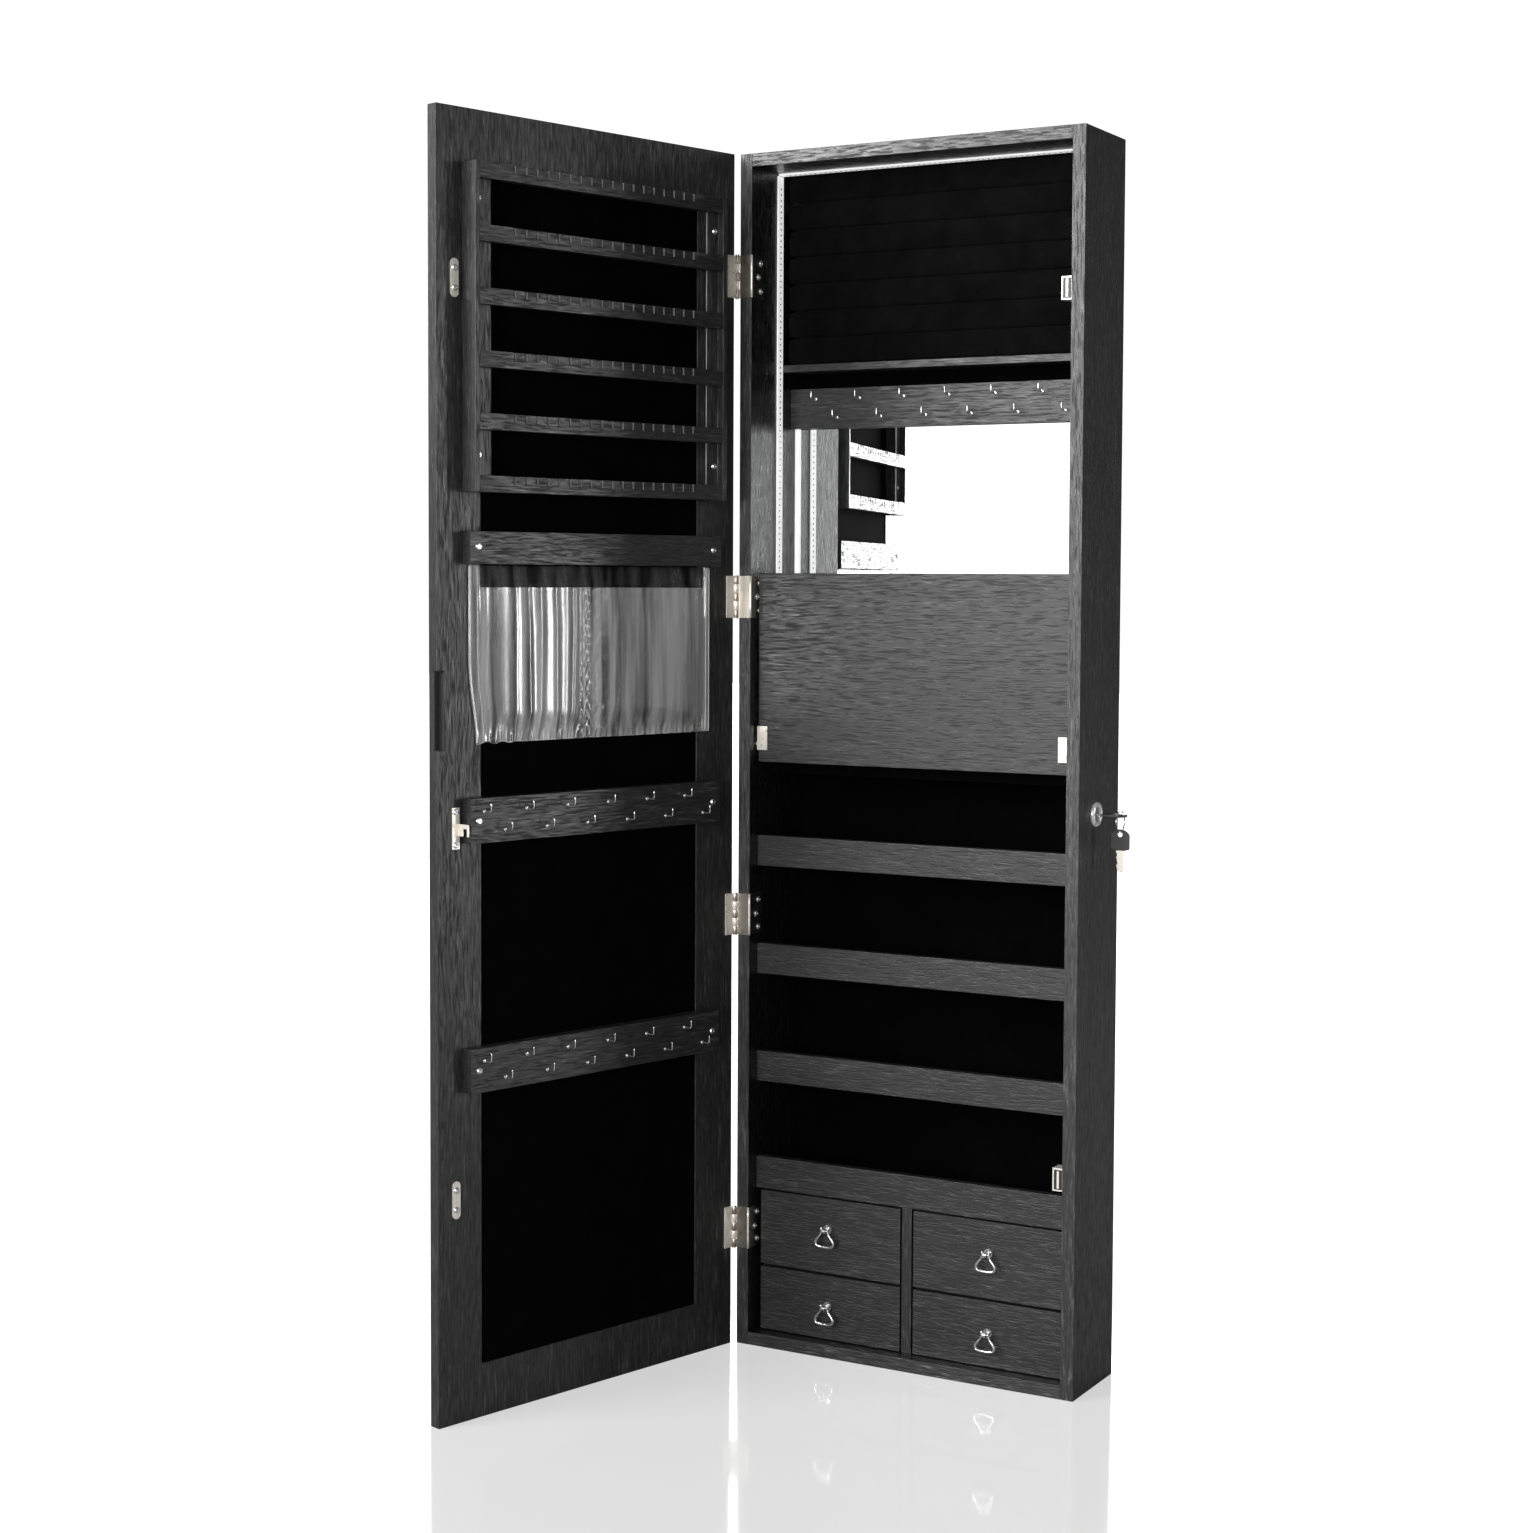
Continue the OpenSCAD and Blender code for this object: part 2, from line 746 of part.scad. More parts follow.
// Spare key that hangs on the split ring
module spare_key() {
    head_w = 19;
    head_t = 2.6;
    head_len = 22;
    blade_len = 21;
    hole_z = -spare_hole_r + split_wire + 0.35;
    color(black_plastic) translate([key_hole_x, split_y, lock_z - split_drop - split_r]) {
        difference() {
            rod_front([0, head_t / 2, hole_z - head_len / 2 + 5], head_len / 2, head_t);
            rod_front([0, head_t, hole_z], spare_hole_r, 2 * head_t);
            for (side = [-1, 1])
                span([side * head_w / 2 - (side < 0 ? 4 : 0), -head_t, -head_len * 1.5],
                     [side * head_w / 2 + (side < 0 ? 0 : 4), head_t, head_len]);
        }
        span([-3.8, -0.85, hole_z - head_len + 5 - blade_len + 1.5], [3.8, 0.85, hole_z - head_len + 6.5]);
    }
}

// ---------- assembly ----------

side_left();
side_right();
top_board();
bottom_board();
back_panel();
inner_cleats();
ring_cushion();
ring_ledge();
trim_strip();
cabinet_hook_bar();
cabinet_hooks();
inner_mirror();
flap_floor();
shelf_boards();
shelf_lips();
drawer_partitions();
magnet_catches();
lock_body();
cabinet_hinge_leaves();
hinge_pins();
cabinet_screws();
door_stile_hinge();
door_stile_free();
door_rails();
door_mirror();
door_backer();
rack_frame();
rack_rails();
pouch_bar();
pouch();
door_hook_bars();
door_hooks();
strike_plates();
lock_hook();
finger_pull();
door_hinge_leaves();
door_screws();
flap_panel();
flap_pivots();
drawer_front(-1, cell_low);  // drawer_ll_front
drawer_front(1, cell_low);  // drawer_lr_front
drawer_front(-1, cell_high);  // drawer_ul_front
drawer_front(1, cell_high);  // drawer_ur_front
drawer_tray(-1, cell_low);  // drawer_ll_tray
drawer_tray(1, cell_low);  // drawer_lr_tray
drawer_tray(-1, cell_high);  // drawer_ul_tray
drawer_tray(1, cell_high);  // drawer_ur_tray
drawer_post(-1, cell_low);  // drawer_ll_post
drawer_post(1, cell_low);  // drawer_lr_post
drawer_post(-1, cell_high);  // drawer_ul_post
drawer_post(1, cell_high);  // drawer_ur_post
drawer_ring(-1, cell_low);  // drawer_ll_ring
drawer_ring(1, cell_low);  // drawer_lr_ring
drawer_ring(-1, cell_high);  // drawer_ul_ring
drawer_ring(1, cell_high);  // drawer_ur_ring
lock_plug();
key();
key_ring();
spare_key();
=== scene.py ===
import json
import math
import random

import bmesh
import bpy
from mathutils import Matrix, Vector


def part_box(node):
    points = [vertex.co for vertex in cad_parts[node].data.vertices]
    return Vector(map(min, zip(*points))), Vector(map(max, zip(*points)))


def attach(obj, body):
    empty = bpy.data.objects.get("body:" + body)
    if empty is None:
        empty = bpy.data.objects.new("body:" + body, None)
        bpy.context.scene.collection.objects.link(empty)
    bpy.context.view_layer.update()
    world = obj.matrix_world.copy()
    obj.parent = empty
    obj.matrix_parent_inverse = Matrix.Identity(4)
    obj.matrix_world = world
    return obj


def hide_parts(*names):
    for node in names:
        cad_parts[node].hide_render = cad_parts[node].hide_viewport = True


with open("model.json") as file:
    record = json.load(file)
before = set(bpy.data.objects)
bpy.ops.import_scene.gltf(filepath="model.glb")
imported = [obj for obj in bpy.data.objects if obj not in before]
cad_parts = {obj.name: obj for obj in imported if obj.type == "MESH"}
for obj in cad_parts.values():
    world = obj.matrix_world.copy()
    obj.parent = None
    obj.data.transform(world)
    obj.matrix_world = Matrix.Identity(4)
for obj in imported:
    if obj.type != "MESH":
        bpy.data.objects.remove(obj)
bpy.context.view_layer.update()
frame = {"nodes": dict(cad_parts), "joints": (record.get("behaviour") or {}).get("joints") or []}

NODES = frame["nodes"]
MM = 0.001

# ---------------------------------------------------------------- places


def joint(name):
    """The frame's row for one joint."""
    return next(row for row in frame["joints"] if row["name"] == name)


CABINET_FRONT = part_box("side_left")[0].y
WALL_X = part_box("side_right")[0].x
CAP_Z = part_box("top_board")[0].z
BASE_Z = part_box("bottom_board")[1].z
BACK_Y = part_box("back_panel")[0].y

# The door's own axes: x along the shut door, out from its inner face, z up
DOOR_GAP = 3.2 * MM
DOOR_IN = CABINET_FRONT - DOOR_GAP
HINGE = Vector((joint("door_swing")["pos_m"][0], joint("door_swing")["pos_m"][1], 0))
TURN = math.radians(joint("door_swing")["range_deg"][0])
DOOR = Matrix.Translation(HINGE) @ Matrix.Rotation(TURN, 4, "Z") @ Matrix.Translation(-HINGE)


def on_door(x, out, z):
    """A point in the door's own axes, as a point in the shared frame."""
    return DOOR @ Vector((x, DOOR_IN + out, z))


# ---------------------------------------------------------------- materials


class Paint:
    """A material under construction: its shader and short calls for the nodes used here."""

    def __init__(self, name, **sockets):
        self.mat = bpy.data.materials.new(name)
        self.mat.use_nodes = True
        self.tree = self.mat.node_tree
        self.shader = self.tree.nodes["Principled BSDF"]
        for socket, value in sockets.items():
            self.shader.inputs[socket.replace("_", " ")].default_value = value

    def node(self, kind, **settings):
        made = self.tree.nodes.new(kind)
        for key, value in settings.items():
            setattr(made, key, value)
        return made

    def link(self, output, target):
        self.tree.links.new(output, target)

    def place(self, turn=0.0):
        """Coordinates on the piece, turned about Z so that X runs along the board."""
        coords = self.node("ShaderNodeTexCoord").outputs["Object"]
        if not turn:
            return coords
        mapping = self.node("ShaderNodeMapping")
        mapping.inputs["Rotation"].default_value = (0, 0, turn)
        self.link(coords, mapping.inputs["Vector"])
        return mapping.outputs["Vector"]

    def stretch(self, vector, scale):
        mapping = self.node("ShaderNodeMapping")
        mapping.inputs["Scale"].default_value = scale
        self.link(vector, mapping.inputs["Vector"])
        return mapping.outputs["Vector"]

    def noise(self, vector, scale, detail, roughness):
        made = self.node("ShaderNodeTexNoise")
        for key, value in (("Scale", scale), ("Detail", detail), ("Roughness", roughness)):
            made.inputs[key].default_value = value
        self.link(vector, made.inputs["Vector"])
        return made.outputs["Fac"]

    def ramp(self, factor, stops):
        """A colour ramp over (position, grey) or (position, (red, green, blue)) stops."""
        made = self.node("ShaderNodeValToRGB")
        ramp = made.color_ramp
        while len(ramp.elements) < len(stops):
            ramp.elements.new(0.5)
        for element, (position, grey) in zip(ramp.elements, stops):
            element.position = position
            element.color = (*grey, 1) if isinstance(grey, tuple) else (grey, grey, grey, 1)
        self.link(factor, made.inputs["Fac"])
        return made.outputs["Color"]

    def math(self, operation, a, b=0.0):
        made = self.node("ShaderNodeMath", operation=operation)
        for socket, value in zip(made.inputs, (a, b)):
            if isinstance(value, (int, float)):
                socket.default_value = value
            else:
                self.link(value, socket)
        return made.outputs["Value"]

    def spread(self, factor, low, high, start=0.0, end=1.0):
        """Maps start..end of a factor onto low..high, and holds it there."""
        made = self.node("ShaderNodeMapRange")
        for key, value in (("From Min", start), ("From Max", end), ("To Min", low), ("To Max", high)):
            made.inputs[key].default_value = value
        self.link(factor, made.inputs["Value"])
        return made.outputs["Result"]

    def mix(self, factor, a, b, blend="MIX"):
        made = self.node("ShaderNodeMix", data_type="RGBA", blend_type=blend)
        for socket, value in ((made.inputs[0], factor), (made.inputs[6], a), (made.inputs[7], b)):
            if isinstance(value, (int, float)):
                socket.default_value = value
            elif isinstance(value, tuple):
                socket.default_value = (*value, 1)
            else:
                self.link(value, socket)
        return made.outputs[2]

    def shade(self, colour, by):
        """A colour multiplied by another colour or by a grey level."""
        return self.mix(1.0, colour, (by, by, by) if isinstance(by, float) else by, "MULTIPLY")

    def bump(self, height, distance, strength):
        made = self.node("ShaderNodeBump")
        made.inputs["Strength"].default_value = strength
        made.inputs["Distance"].default_value = distance
        self.link(height, made.inputs["Height"])
        return made.outputs["Normal"]

    def done(self, **links):
        for socket, output in links.items():
            self.link(output, self.shader.inputs[socket.replace("_", " ")])
        return self.mat


def drawn_out(along, share):
    """A scale that draws a pattern out along one axis."""
    return tuple(share if axis == along else 1 for axis in "xyz")


def grain_lines(p, along, turn):
    """Coordinates drawn out along the grain and swayed a little to each side."""
    place = p.place(turn)
    sway = p.noise(p.stretch(place, drawn_out(along, 0.22)), 14.0, 2.0, 0.5)
    bent = p.node("ShaderNodeVectorMath", operation="MULTIPLY_ADD")
    p.link(sway, bent.inputs[0])
    bent.inputs[1].default_value = (12 * MM, 12 * MM, 12 * MM)
    p.link(place, bent.inputs[2])
    return p.stretch(bent.outputs[0], drawn_out(along, 0.09))


def wood(name, along, turn=0.0, darkened_inside=None, edge=None, cuts=None):
    """Black wood-grain foil. The grain runs along 'x', 'y' or 'z' of the board's own axes.

    A darkened inside is given as (axis, sign, limit): the board turns near black on its inner face, where
    sign * coordinate is below the limit. On the bottom board's top face this darkening is painted shadow.
    edge is the depth of the front edge's paler band: partly the edge-banding's tone, partly painted
    highlight for the light the near front edges catch.
    cuts is a direction: bare board shows on faces that look along it, one way or the other.
    """
    p = Paint(name, Specular_IOR_Level=0.62)
    lines = grain_lines(p, along, turn)
    streaks = p.noise(lines, 500.0, 4.0, 0.74)
    pores = p.noise(lines, 640.0, 2.0, 0.5)
    bands = p.noise(lines, 60.0, 3.0, 0.55)
    dashes = p.ramp(pores, [(0.38, 0.10), (0.46, 1.0)])
    colour = p.ramp(streaks, [(0.30, 0.002), (0.44, 0.009), (0.56, 0.022), (0.68, 0.075)])
    colour = p.shade(colour, p.ramp(bands, [(0.32, 0.78), (0.68, 1.20)]))
    colour = p.shade(colour, dashes)
    height = p.math("ADD", p.math("MULTIPLY", streaks, 0.5), p.math("MULTIPLY", dashes, 0.8))
    rough = p.math("ADD", p.spread(streaks, 0.50, 0.28, 0.32, 0.66), p.spread(dashes, 0.22, 0.0))
    if darkened_inside or edge:
        axes = p.node("ShaderNodeSeparateXYZ")
        p.link(p.place(), axes.inputs[0])
    # paler front edge: edge-banding tone together with painted highlight
    if edge:
        band_end = CABINET_FRONT + edge
        pale_edge_and_highlight = p.spread(axes.outputs["Y"], 1.0, 0.0, band_end, band_end + 0.4 * MM)
        colour = p.mix(pale_edge_and_highlight, colour, p.shade(colour, 1.7))
    # darkened inside: near black; on the bottom board's top face it is painted shadow
    if darkened_inside:
        axis, sign, limit = darkened_inside
        reach = p.math("MULTIPLY", axes.outputs[axis], sign)
        inside = p.spread(reach, 1.0, 0.0, limit - 0.2 * MM, limit + 0.2 * MM)
        if edge:
            inside = p.math("MULTIPLY", inside, p.math("SUBTRACT", 1.0, pale_edge_and_highlight))
        colour = p.mix(inside, colour, p.shade(colour, 0.16))
        rough = p.math("SUBTRACT", rough, p.math("MULTIPLY", inside, 0.12))
    if cuts:
        facing = p.node("ShaderNodeVectorMath", operation="DOT_PRODUCT")
        p.link(p.node("ShaderNodeTexCoord").outputs["Normal"], facing.inputs[0])
        facing.inputs[1].default_value = cuts
        bare = p.spread(p.math("ABSOLUTE", facing.outputs["Value"]), 0.0, 1.0, 0.93, 0.97)
        colour = p.mix(bare, colour, p.ramp(streaks, [(0.3, 0.20), (0.7, 0.42)]))
    return p.done(Base_Color=colour, Roughness=rough, Normal=p.bump(height, 0.28 * MM, 0.55))


def velvet(name, grey=0.0011, sheen=0.004):
    """Short black pile, a little mottled where it has been brushed."""
    p = Paint(name, Sheen_Weight=sheen, Sheen_Roughness=0.45, Specular_IOR_Level=0.02)
    place = p.place()
    pile = p.noise(place, 2600.0, 2.0, 0.6)
    brushed = p.noise(place, 34.0, 4.0, 0.62)
    colour = p.ramp(brushed, [(0.30, grey * 0.7), (0.72, grey * 1.5)])
    return p.done(
        Base_Color=p.shade(colour, p.ramp(pile, [(0.35, 0.75), (0.65, 1.25)])),
        Roughness=p.spread(brushed, 0.86, 0.97),
        Normal=p.bump(pile, 0.3 * MM, 0.8),
    )


def metal(name, colour, rough_low, rough_high, plating=1.0):
    """Plated steel with faint drawn lines and finger haze. A lower plating is whiter and duller."""
    p = Paint(name, Metallic=plating)
    place = p.place()
    lines = p.noise(p.stretch(place, drawn_out("z", 0.05)), 5200.0, 3.0, 0.6)
    haze = p.noise(place, 150.0, 4.0, 0.6)
    dark = tuple(c * 0.90 for c in colour)
    return p.done(
        Base_Color=p.mix(p.ramp(haze, [(0.3, 0.0), (0.62, 1.0)]), dark, colour),
        Roughness=p.spread(haze, rough_high, rough_low, 0.3, 0.7),
        Normal=p.bump(lines, 0.003 * MM, 0.25),
    )


def plastic(name, grey, rough=0.36, grain=900.0, bump=0.06 * MM, painted_glow=0.0):
    """Moulded plastic with a fine spark-eroded grain, and, where asked, a glow that is painted light."""
    p = Paint(name, Specular_IOR_Level=0.5, Emission_Color=(1, 1, 1, 1), Emission_Strength=painted_glow)
    place = p.place()
    fine = p.noise(place, grain, 3.0, 0.6)
    wide = p.noise(place, 60.0, 3.0, 0.5)
    return p.done(
        Base_Color=p.ramp(wide, [(0.3, grey * 0.82), (0.7, grey * 1.12)]),
        Roughness=p.spread(fine, rough - 0.06, rough + 0.10, 0.3, 0.7),
        Normal=p.bump(fine, bump, 0.7),
    )


def looking_glass():
    """Silvered glass with a trace of smear."""
    p = Paint("mirror_glass", Metallic=1.0)
    smear = p.noise(p.stretch(p.place(), drawn_out("z", 0.5)), 22.0, 5.0, 0.6)
    tint = p.ramp(smear, [(0.3, (0.90, 0.915, 0.92)), (0.7, (0.94, 0.95, 0.95))])
    return p.done(Base_Color=tint, Roughness=p.spread(smear, 0.0, 0.035, 0.45, 0.85))


def clear_vinyl(name, shine, milk, index=1.42, coat=0.5):
    """Thin clear film: see-through, with a soft gloss and a milky haze in upright bands; the bands are
    partly painted sheen for the streaks of light along its folds.
    """
    p = Paint(name, IOR=index, Coat_Weight=coat, Coat_Roughness=0.10, Coat_IOR=1.5)
    # milky bands: real haze, laid out as painted sheen in upright streaks
    milk_and_sheen_bands = p.noise(p.stretch(p.place(), drawn_out("z", 0.05)), 75.0, 3.0, 0.55)
    return p.done(
        Base_Color=p.ramp(milk_and_sheen_bands, [(0.3, 0.72), (0.7, 0.90)]),
        Transmission_Weight=p.spread(milk_and_sheen_bands, 1.0 - milk * 1.6, 1.0 - milk * 0.1, 0.36, 0.62),
        Roughness=p.spread(milk_and_sheen_bands, shine, shine + 0.10, 0.3, 0.7),
        Normal=p.bump(milk_and_sheen_bands, 0.3 * MM, 0.3),
    )


SHUT = -TURN
ALONG_DOOR = (math.cos(TURN), math.sin(TURN), 0.0)
EDGE_BAND = 0.8 * MM
INSIDE_MARGIN = 0.1 * MM
WOOD_Z = wood("foil_upright", "z")
WOOD_X = wood("foil_level", "x")
LEFT_WOOD = wood("foil_left", "z", darkened_inside=("X", -1, WALL_X + INSIDE_MARGIN), edge=EDGE_BAND)
RIGHT_WOOD = wood("foil_right", "z", darkened_inside=("X", 1, WALL_X + INSIDE_MARGIN), edge=EDGE_BAND)
CAP_WOOD = wood("foil_cap", "x", darkened_inside=("Z", 1, CAP_Z + INSIDE_MARGIN), edge=EDGE_BAND)
# The bottom board's darkened top face is painted shadow for the strip that lies in shade between the
# drawers and the front edge.
BASE_WOOD = wood("foil_base", "x", darkened_inside=("Z", -1, INSIDE_MARGIN - BASE_Z), edge=EDGE_BAND)
BACK_WOOD = wood("foil_back", "z", darkened_inside=("Y", 1, BACK_Y + INSIDE_MARGIN))
DOOR_WOOD_Z = wood("door_foil_upright", "z", SHUT)
DOOR_WOOD_X = wood("door_foil_level", "x", SHUT)
RAIL_WOOD = wood("rack_rail_foil", "x", SHUT, cuts=ALONG_DOOR)
VELVET = velvet("black_velvet")
PILE = velvet("cushion_velvet", grey=0.0036, sheen=0.014)
MIRROR = looking_glass()
# A darker copy of the nickel for the cabinet's hinge leaves: painted shade, for leaves that reflect the
# dark inside.
NICKEL_PAINTED_SHADE = metal("shaded_nickel", (0.50, 0.46, 0.40), 0.26, 0.36)
NICKEL = metal("satin_nickel", (0.93, 0.88, 0.79), 0.26, 0.34, plating=0.5)
CHROME = metal("bright_chrome", (0.80, 0.80, 0.81), 0.06, 0.12, plating=0.9)
RIM_CHROME = metal("rim_chrome", (0.95, 0.95, 0.95), 0.18, 0.26, plating=0.55)
RING_STEEL = metal("ring_steel", (0.40, 0.40, 0.41), 0.10, 0.16)
BLACK_PLASTIC = plastic("black_plastic", 0.018)
# The pale strip's glow is painted light: it makes the pale batten look lit, though it is no lamp.
PALE = plastic("pale_strip", 0.80, rough=0.42, grain=700.0, painted_glow=0.55)
BEAD = plastic("pale_bead", 0.14, rough=0.2, grain=1500.0, bump=0.02 * MM)
RAW_BOARD = plastic("raw_edge", 0.42, rough=0.6, grain=1400.0)
VINYL = clear_vinyl("clear_film", shine=0.11, milk=0.30)
VINYL_FLAT = clear_vinyl("clear_film_flat", shine=0.25, milk=0.05, index=1.10, coat=0.0)
VINYL_RIM = clear_vinyl("film_rim", shine=0.05, milk=0.5)

BOARD_PAINT = {
    "side_left": LEFT_WOOD,
    "side_right": RIGHT_WOOD,
    "top_board": CAP_WOOD,
    "bottom_board": BASE_WOOD,
    "back_panel": BACK_WOOD,
    "rack_rails": RAIL_WOOD,
    "cabinet_hinge_leaves": NICKEL_PAINTED_SHADE,
}
SLOT_PAINT = {
    "black_wood": WOOD_Z,
    "velvet": VELVET,
    "mirror": MIRROR,
    "nickel": NICKEL,
    "chrome": CHROME,
    "black_plastic": BLACK_PLASTIC,
    "pale_trim": PALE,
}
LEVEL_GRAIN = ("cabinet_hook_bar", "ring_ledge", "shelf_lips", "flap_panel", "inner_cleats")
DOOR_LEVEL = ("pouch_bar", "door_hook_bars")
DOOR_UPRIGHT = ("door_stile_hinge", "door_stile_free", "door_rails", "rack_frame")
SOFT_EDGE = {
    "black_wood": 0.5 * MM,
    "nickel": 0.18 * MM,
    "mirror": 0.8 * MM,
    "pale_trim": 0.2 * MM,
    "black_plastic": 0.3 * MM,
}


def paint_of(name, slot):
    """The finish a CAD node gets, by its own name or by its slot."""
    if name in BOARD_PAINT:
        return BOARD_PAINT[name]
    if name in LEVEL_GRAIN or name.endswith("_front"):
        return WOOD_X
    if name in DOOR_LEVEL:
        return DOOR_WOOD_X
    if name in DOOR_UPRIGHT:
        return DOOR_WOOD_Z
    return SLOT_PAINT[slot]


def round_edges(obj, width):
    """Rounds a board's sharp edges, so that they catch a line of light."""
    weld = obj.modifiers.new("weld", "WELD")
    weld.merge_threshold = 0.01 * MM
    bevel = obj.modifiers.new("edges", "BEVEL")
    bevel.width = width
    bevel.segments = 2
    bevel.limit_method = "ANGLE"
    bevel.angle_limit = math.radians(50)
    bevel.harden_normals = True


for name, obj in NODES.items():
    slot = obj.data.materials[0].name.split(".")[0]
    if slot not in SLOT_PAINT:
        continue
    if slot in SOFT_EDGE:
        round_edges(obj, SOFT_EDGE[slot])
    obj.data.materials.clear()
    obj.data.materials.append(paint_of(name, slot))

# ---------------------------------------------------------------- mesh making


def piece(name, verts, faces, body, slot, paint, stands_for=(), smooth=True):
    """A new mesh that rides on a body, takes the given paint as its finish and may replace CAD nodes, which
    it hides. Its slot is not used.
    """
    mesh = bpy.data.meshes.new(name)
    mesh.from_pydata([tuple(v) for v in verts], [], faces)
    mesh.validate()
    work = bmesh.new()
    work.from_mesh(mesh)
    bmesh.ops.recalc_face_normals(work, faces=work.faces)
    work.to_mesh(mesh)
    work.free()
    mesh.materials.append(paint)
    for polygon in mesh.polygons:
        polygon.use_smooth = smooth
    obj = bpy.data.objects.new(name, mesh)
    bpy.context.scene.collection.objects.link(obj)
    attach(obj, body)
    if stands_for:
        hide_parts(*stands_for)
    return obj


def add(store, part, matrix=None):
    """Joins verts and faces to a store of (verts, faces)."""
    base = len(store[0])
    store[0].extend(matrix @ v if matrix else v for v in part[0])
    store[1].extend(tuple(i + base for i in face) for face in part[1])


def smoothstep(low, high, value):
    t = min(max((value - low) / (high - low), 0.0), 1.0)
    return t * t * (3 - 2 * t)


def smooth_loop(points, steps):
    """A smooth closed line through the points, with the same number of steps between each two."""
    count = len(points)
    line = []
    for i in range(count):
        a, b, c, d = (points[(i + k) % count] for k in (-1, 0, 1, 2))
        for t in (s / steps for s in range(steps)):
            line.append(0.5 * (2 * b + (c - a) * t + (2 * a - 5 * b + 4 * c - d) * t * t
                               + (3 * b - a - 3 * c + d) * t ** 3))
    return line


def skin(rings, sides, closed=False):
    """Quads between rings of verts that follow each other, all with the same number of sides."""
    faces = []
    for i in range(rings if closed else rings - 1):
        j = (i + 1) % rings
        for s in range(sides):
            t = (s + 1) % sides
            faces.append((i * sides + s, i * sides + t, j * sides + t, j * sides + s))
    return faces


def cap(ring, sides):
    """The face that closes one ring of verts."""
    return tuple(range(ring * sides, (ring + 1) * sides))


def tube(line, radius, sides=10, closed=False):
    """Verts and faces of a round wire along a line. radius is a number or one number for each point."""
    count = len(line)
    radii = radius if isinstance(radius, list) else [radius] * count
    if closed:
        ahead = [(line[(i + 1) % count] - line[i - 1]).normalized() for i in range(count)]
    else:
        ahead = [(line[min(i + 1, count - 1)] - line[max(i - 1, 0)]).normalized() for i in range(count)]
    first = Vector((0, 0, 1)) if abs(ahead[0].z) < 0.8 else Vector((0, 1, 0))
    side = (first - ahead[0] * first.dot(ahead[0])).normalized()
    verts = []
    for i in range(count):
        side = (side - ahead[i] * side.dot(ahead[i])).normalized()
        other = ahead[i].cross(side)
        for a in (math.tau * s / sides for s in range(sides)):
            verts.append(line[i] + side * (math.cos(a) * radii[i]) + other * (math.sin(a) * radii[i]))
    faces = skin(count, sides, closed)
    if not closed:
        faces += [cap(0, sides), cap(count - 1, sides)]
    return verts, faces


def dome(radius, height, rings, sides, base=0.0):
    """A low domed button that stands on the XY plane, with a short straight side."""
    levels = [(radius, 0.0)]
    for a in (math.pi / 2 * r / rings for r in range(rings + 1)):
        levels.append((math.cos(a) * radius, base + height * math.sin(a)))
    verts = [Vector((reach * math.cos(b), reach * math.sin(b), z))
             for reach, z in levels
             for b in (math.tau * s / sides for s in range(sides))]
    return verts, skin(len(levels), sides) + [cap(0, sides)]


def plate(name, loops, thick, edge, matrix, body, slot, paint, stands_for=()):
    """A flat cut-out with rounded edges: the first loop is its outline, any others are holes."""
    curve = bpy.data.curves.new(name, "CURVE")
    curve.dimensions = "2D"
    curve.fill_mode = "BOTH"
    curve.extrude = thick / 2 - edge
    curve.bevel_depth = edge
    curve.bevel_resolution = 2
    curve.offset = -edge
    for loop in loops:
        spline = curve.splines.new("POLY")
        spline.points.add(len(loop) - 1)
        for point, (x, y) in zip(spline.points, loop):
            point.co = (x, y, 0, 1)
        spline.use_cyclic_u = True
    holder = bpy.data.objects.new(name + "_outline", curve)
    bpy.context.scene.collection.objects.link(holder)
    mesh = bpy.data.meshes.new_from_object(holder.evaluated_get(bpy.context.evaluated_depsgraph_get()))
    work = bmesh.new()
    work.from_mesh(mesh)
    bmesh.ops.remove_doubles(work, verts=work.verts, dist=0.001 * MM)
    verts = [matrix @ v.co for v in work.verts]
    faces = [tuple(v.index for v in f.verts) for f in work.faces]
    work.free()
    bpy.data.objects.remove(holder)
    piece(name, verts, faces, body, slot, paint, stands_for, smooth=False)


def card(name, low, high, body, slot, paint):
    """A plain card or block between two corners."""
    made = bmesh.new()
    bmesh.ops.create_cube(made, size=1.0)
    size, middle = high - low, (high + low) / 2
    verts = [Vector((v.co.x * size.x, v.co.y * size.y, v.co.z * size.z)) + middle for v in made.verts]
    faces = [tuple(v.index for v in f.verts) for f in made.faces]
    made.free()
    piece(name, verts, faces, body, slot, paint, smooth=False)


def arc(cx, cy, radius, start, end, steps):
    """Points on an arc, angles in degrees."""
    angles = (math.radians(start + (end - start) * i / steps) for i in range(steps + 1))
    return [(cx + radius * math.cos(a), cy + radius * math.sin(a)) for a in angles]


def circle(cx, cy, radius):
    """The points of a round hole."""
    return arc(cx, cy, radius, 0, 345, 23)


def mirrored(points):
    """The same points on the other side of the upright axis, in reverse order."""
    return [(-x, y) for x, y in reversed(points)]


# ---------------------------------------------------------------- hooks

HOOK_WIRE = 0.65 * MM
HOOK_OUT = 10.0
HOOK_UP = 8.0
HOOK_BEND = 1.8
BAR_T = 12 * MM
LOWER_SHIFT = 0.49
CABINET_HOOKS = {"start": -142.4, "step": 50.2, "upper": 29.5, "lower": 10.3}
DOOR_HOOKS = {"start": -140.5, "step": 49.8, "upper": 29.0, "lower": 10.8}
DOOR_BAR_LEVELS = (306.5, 536.0)


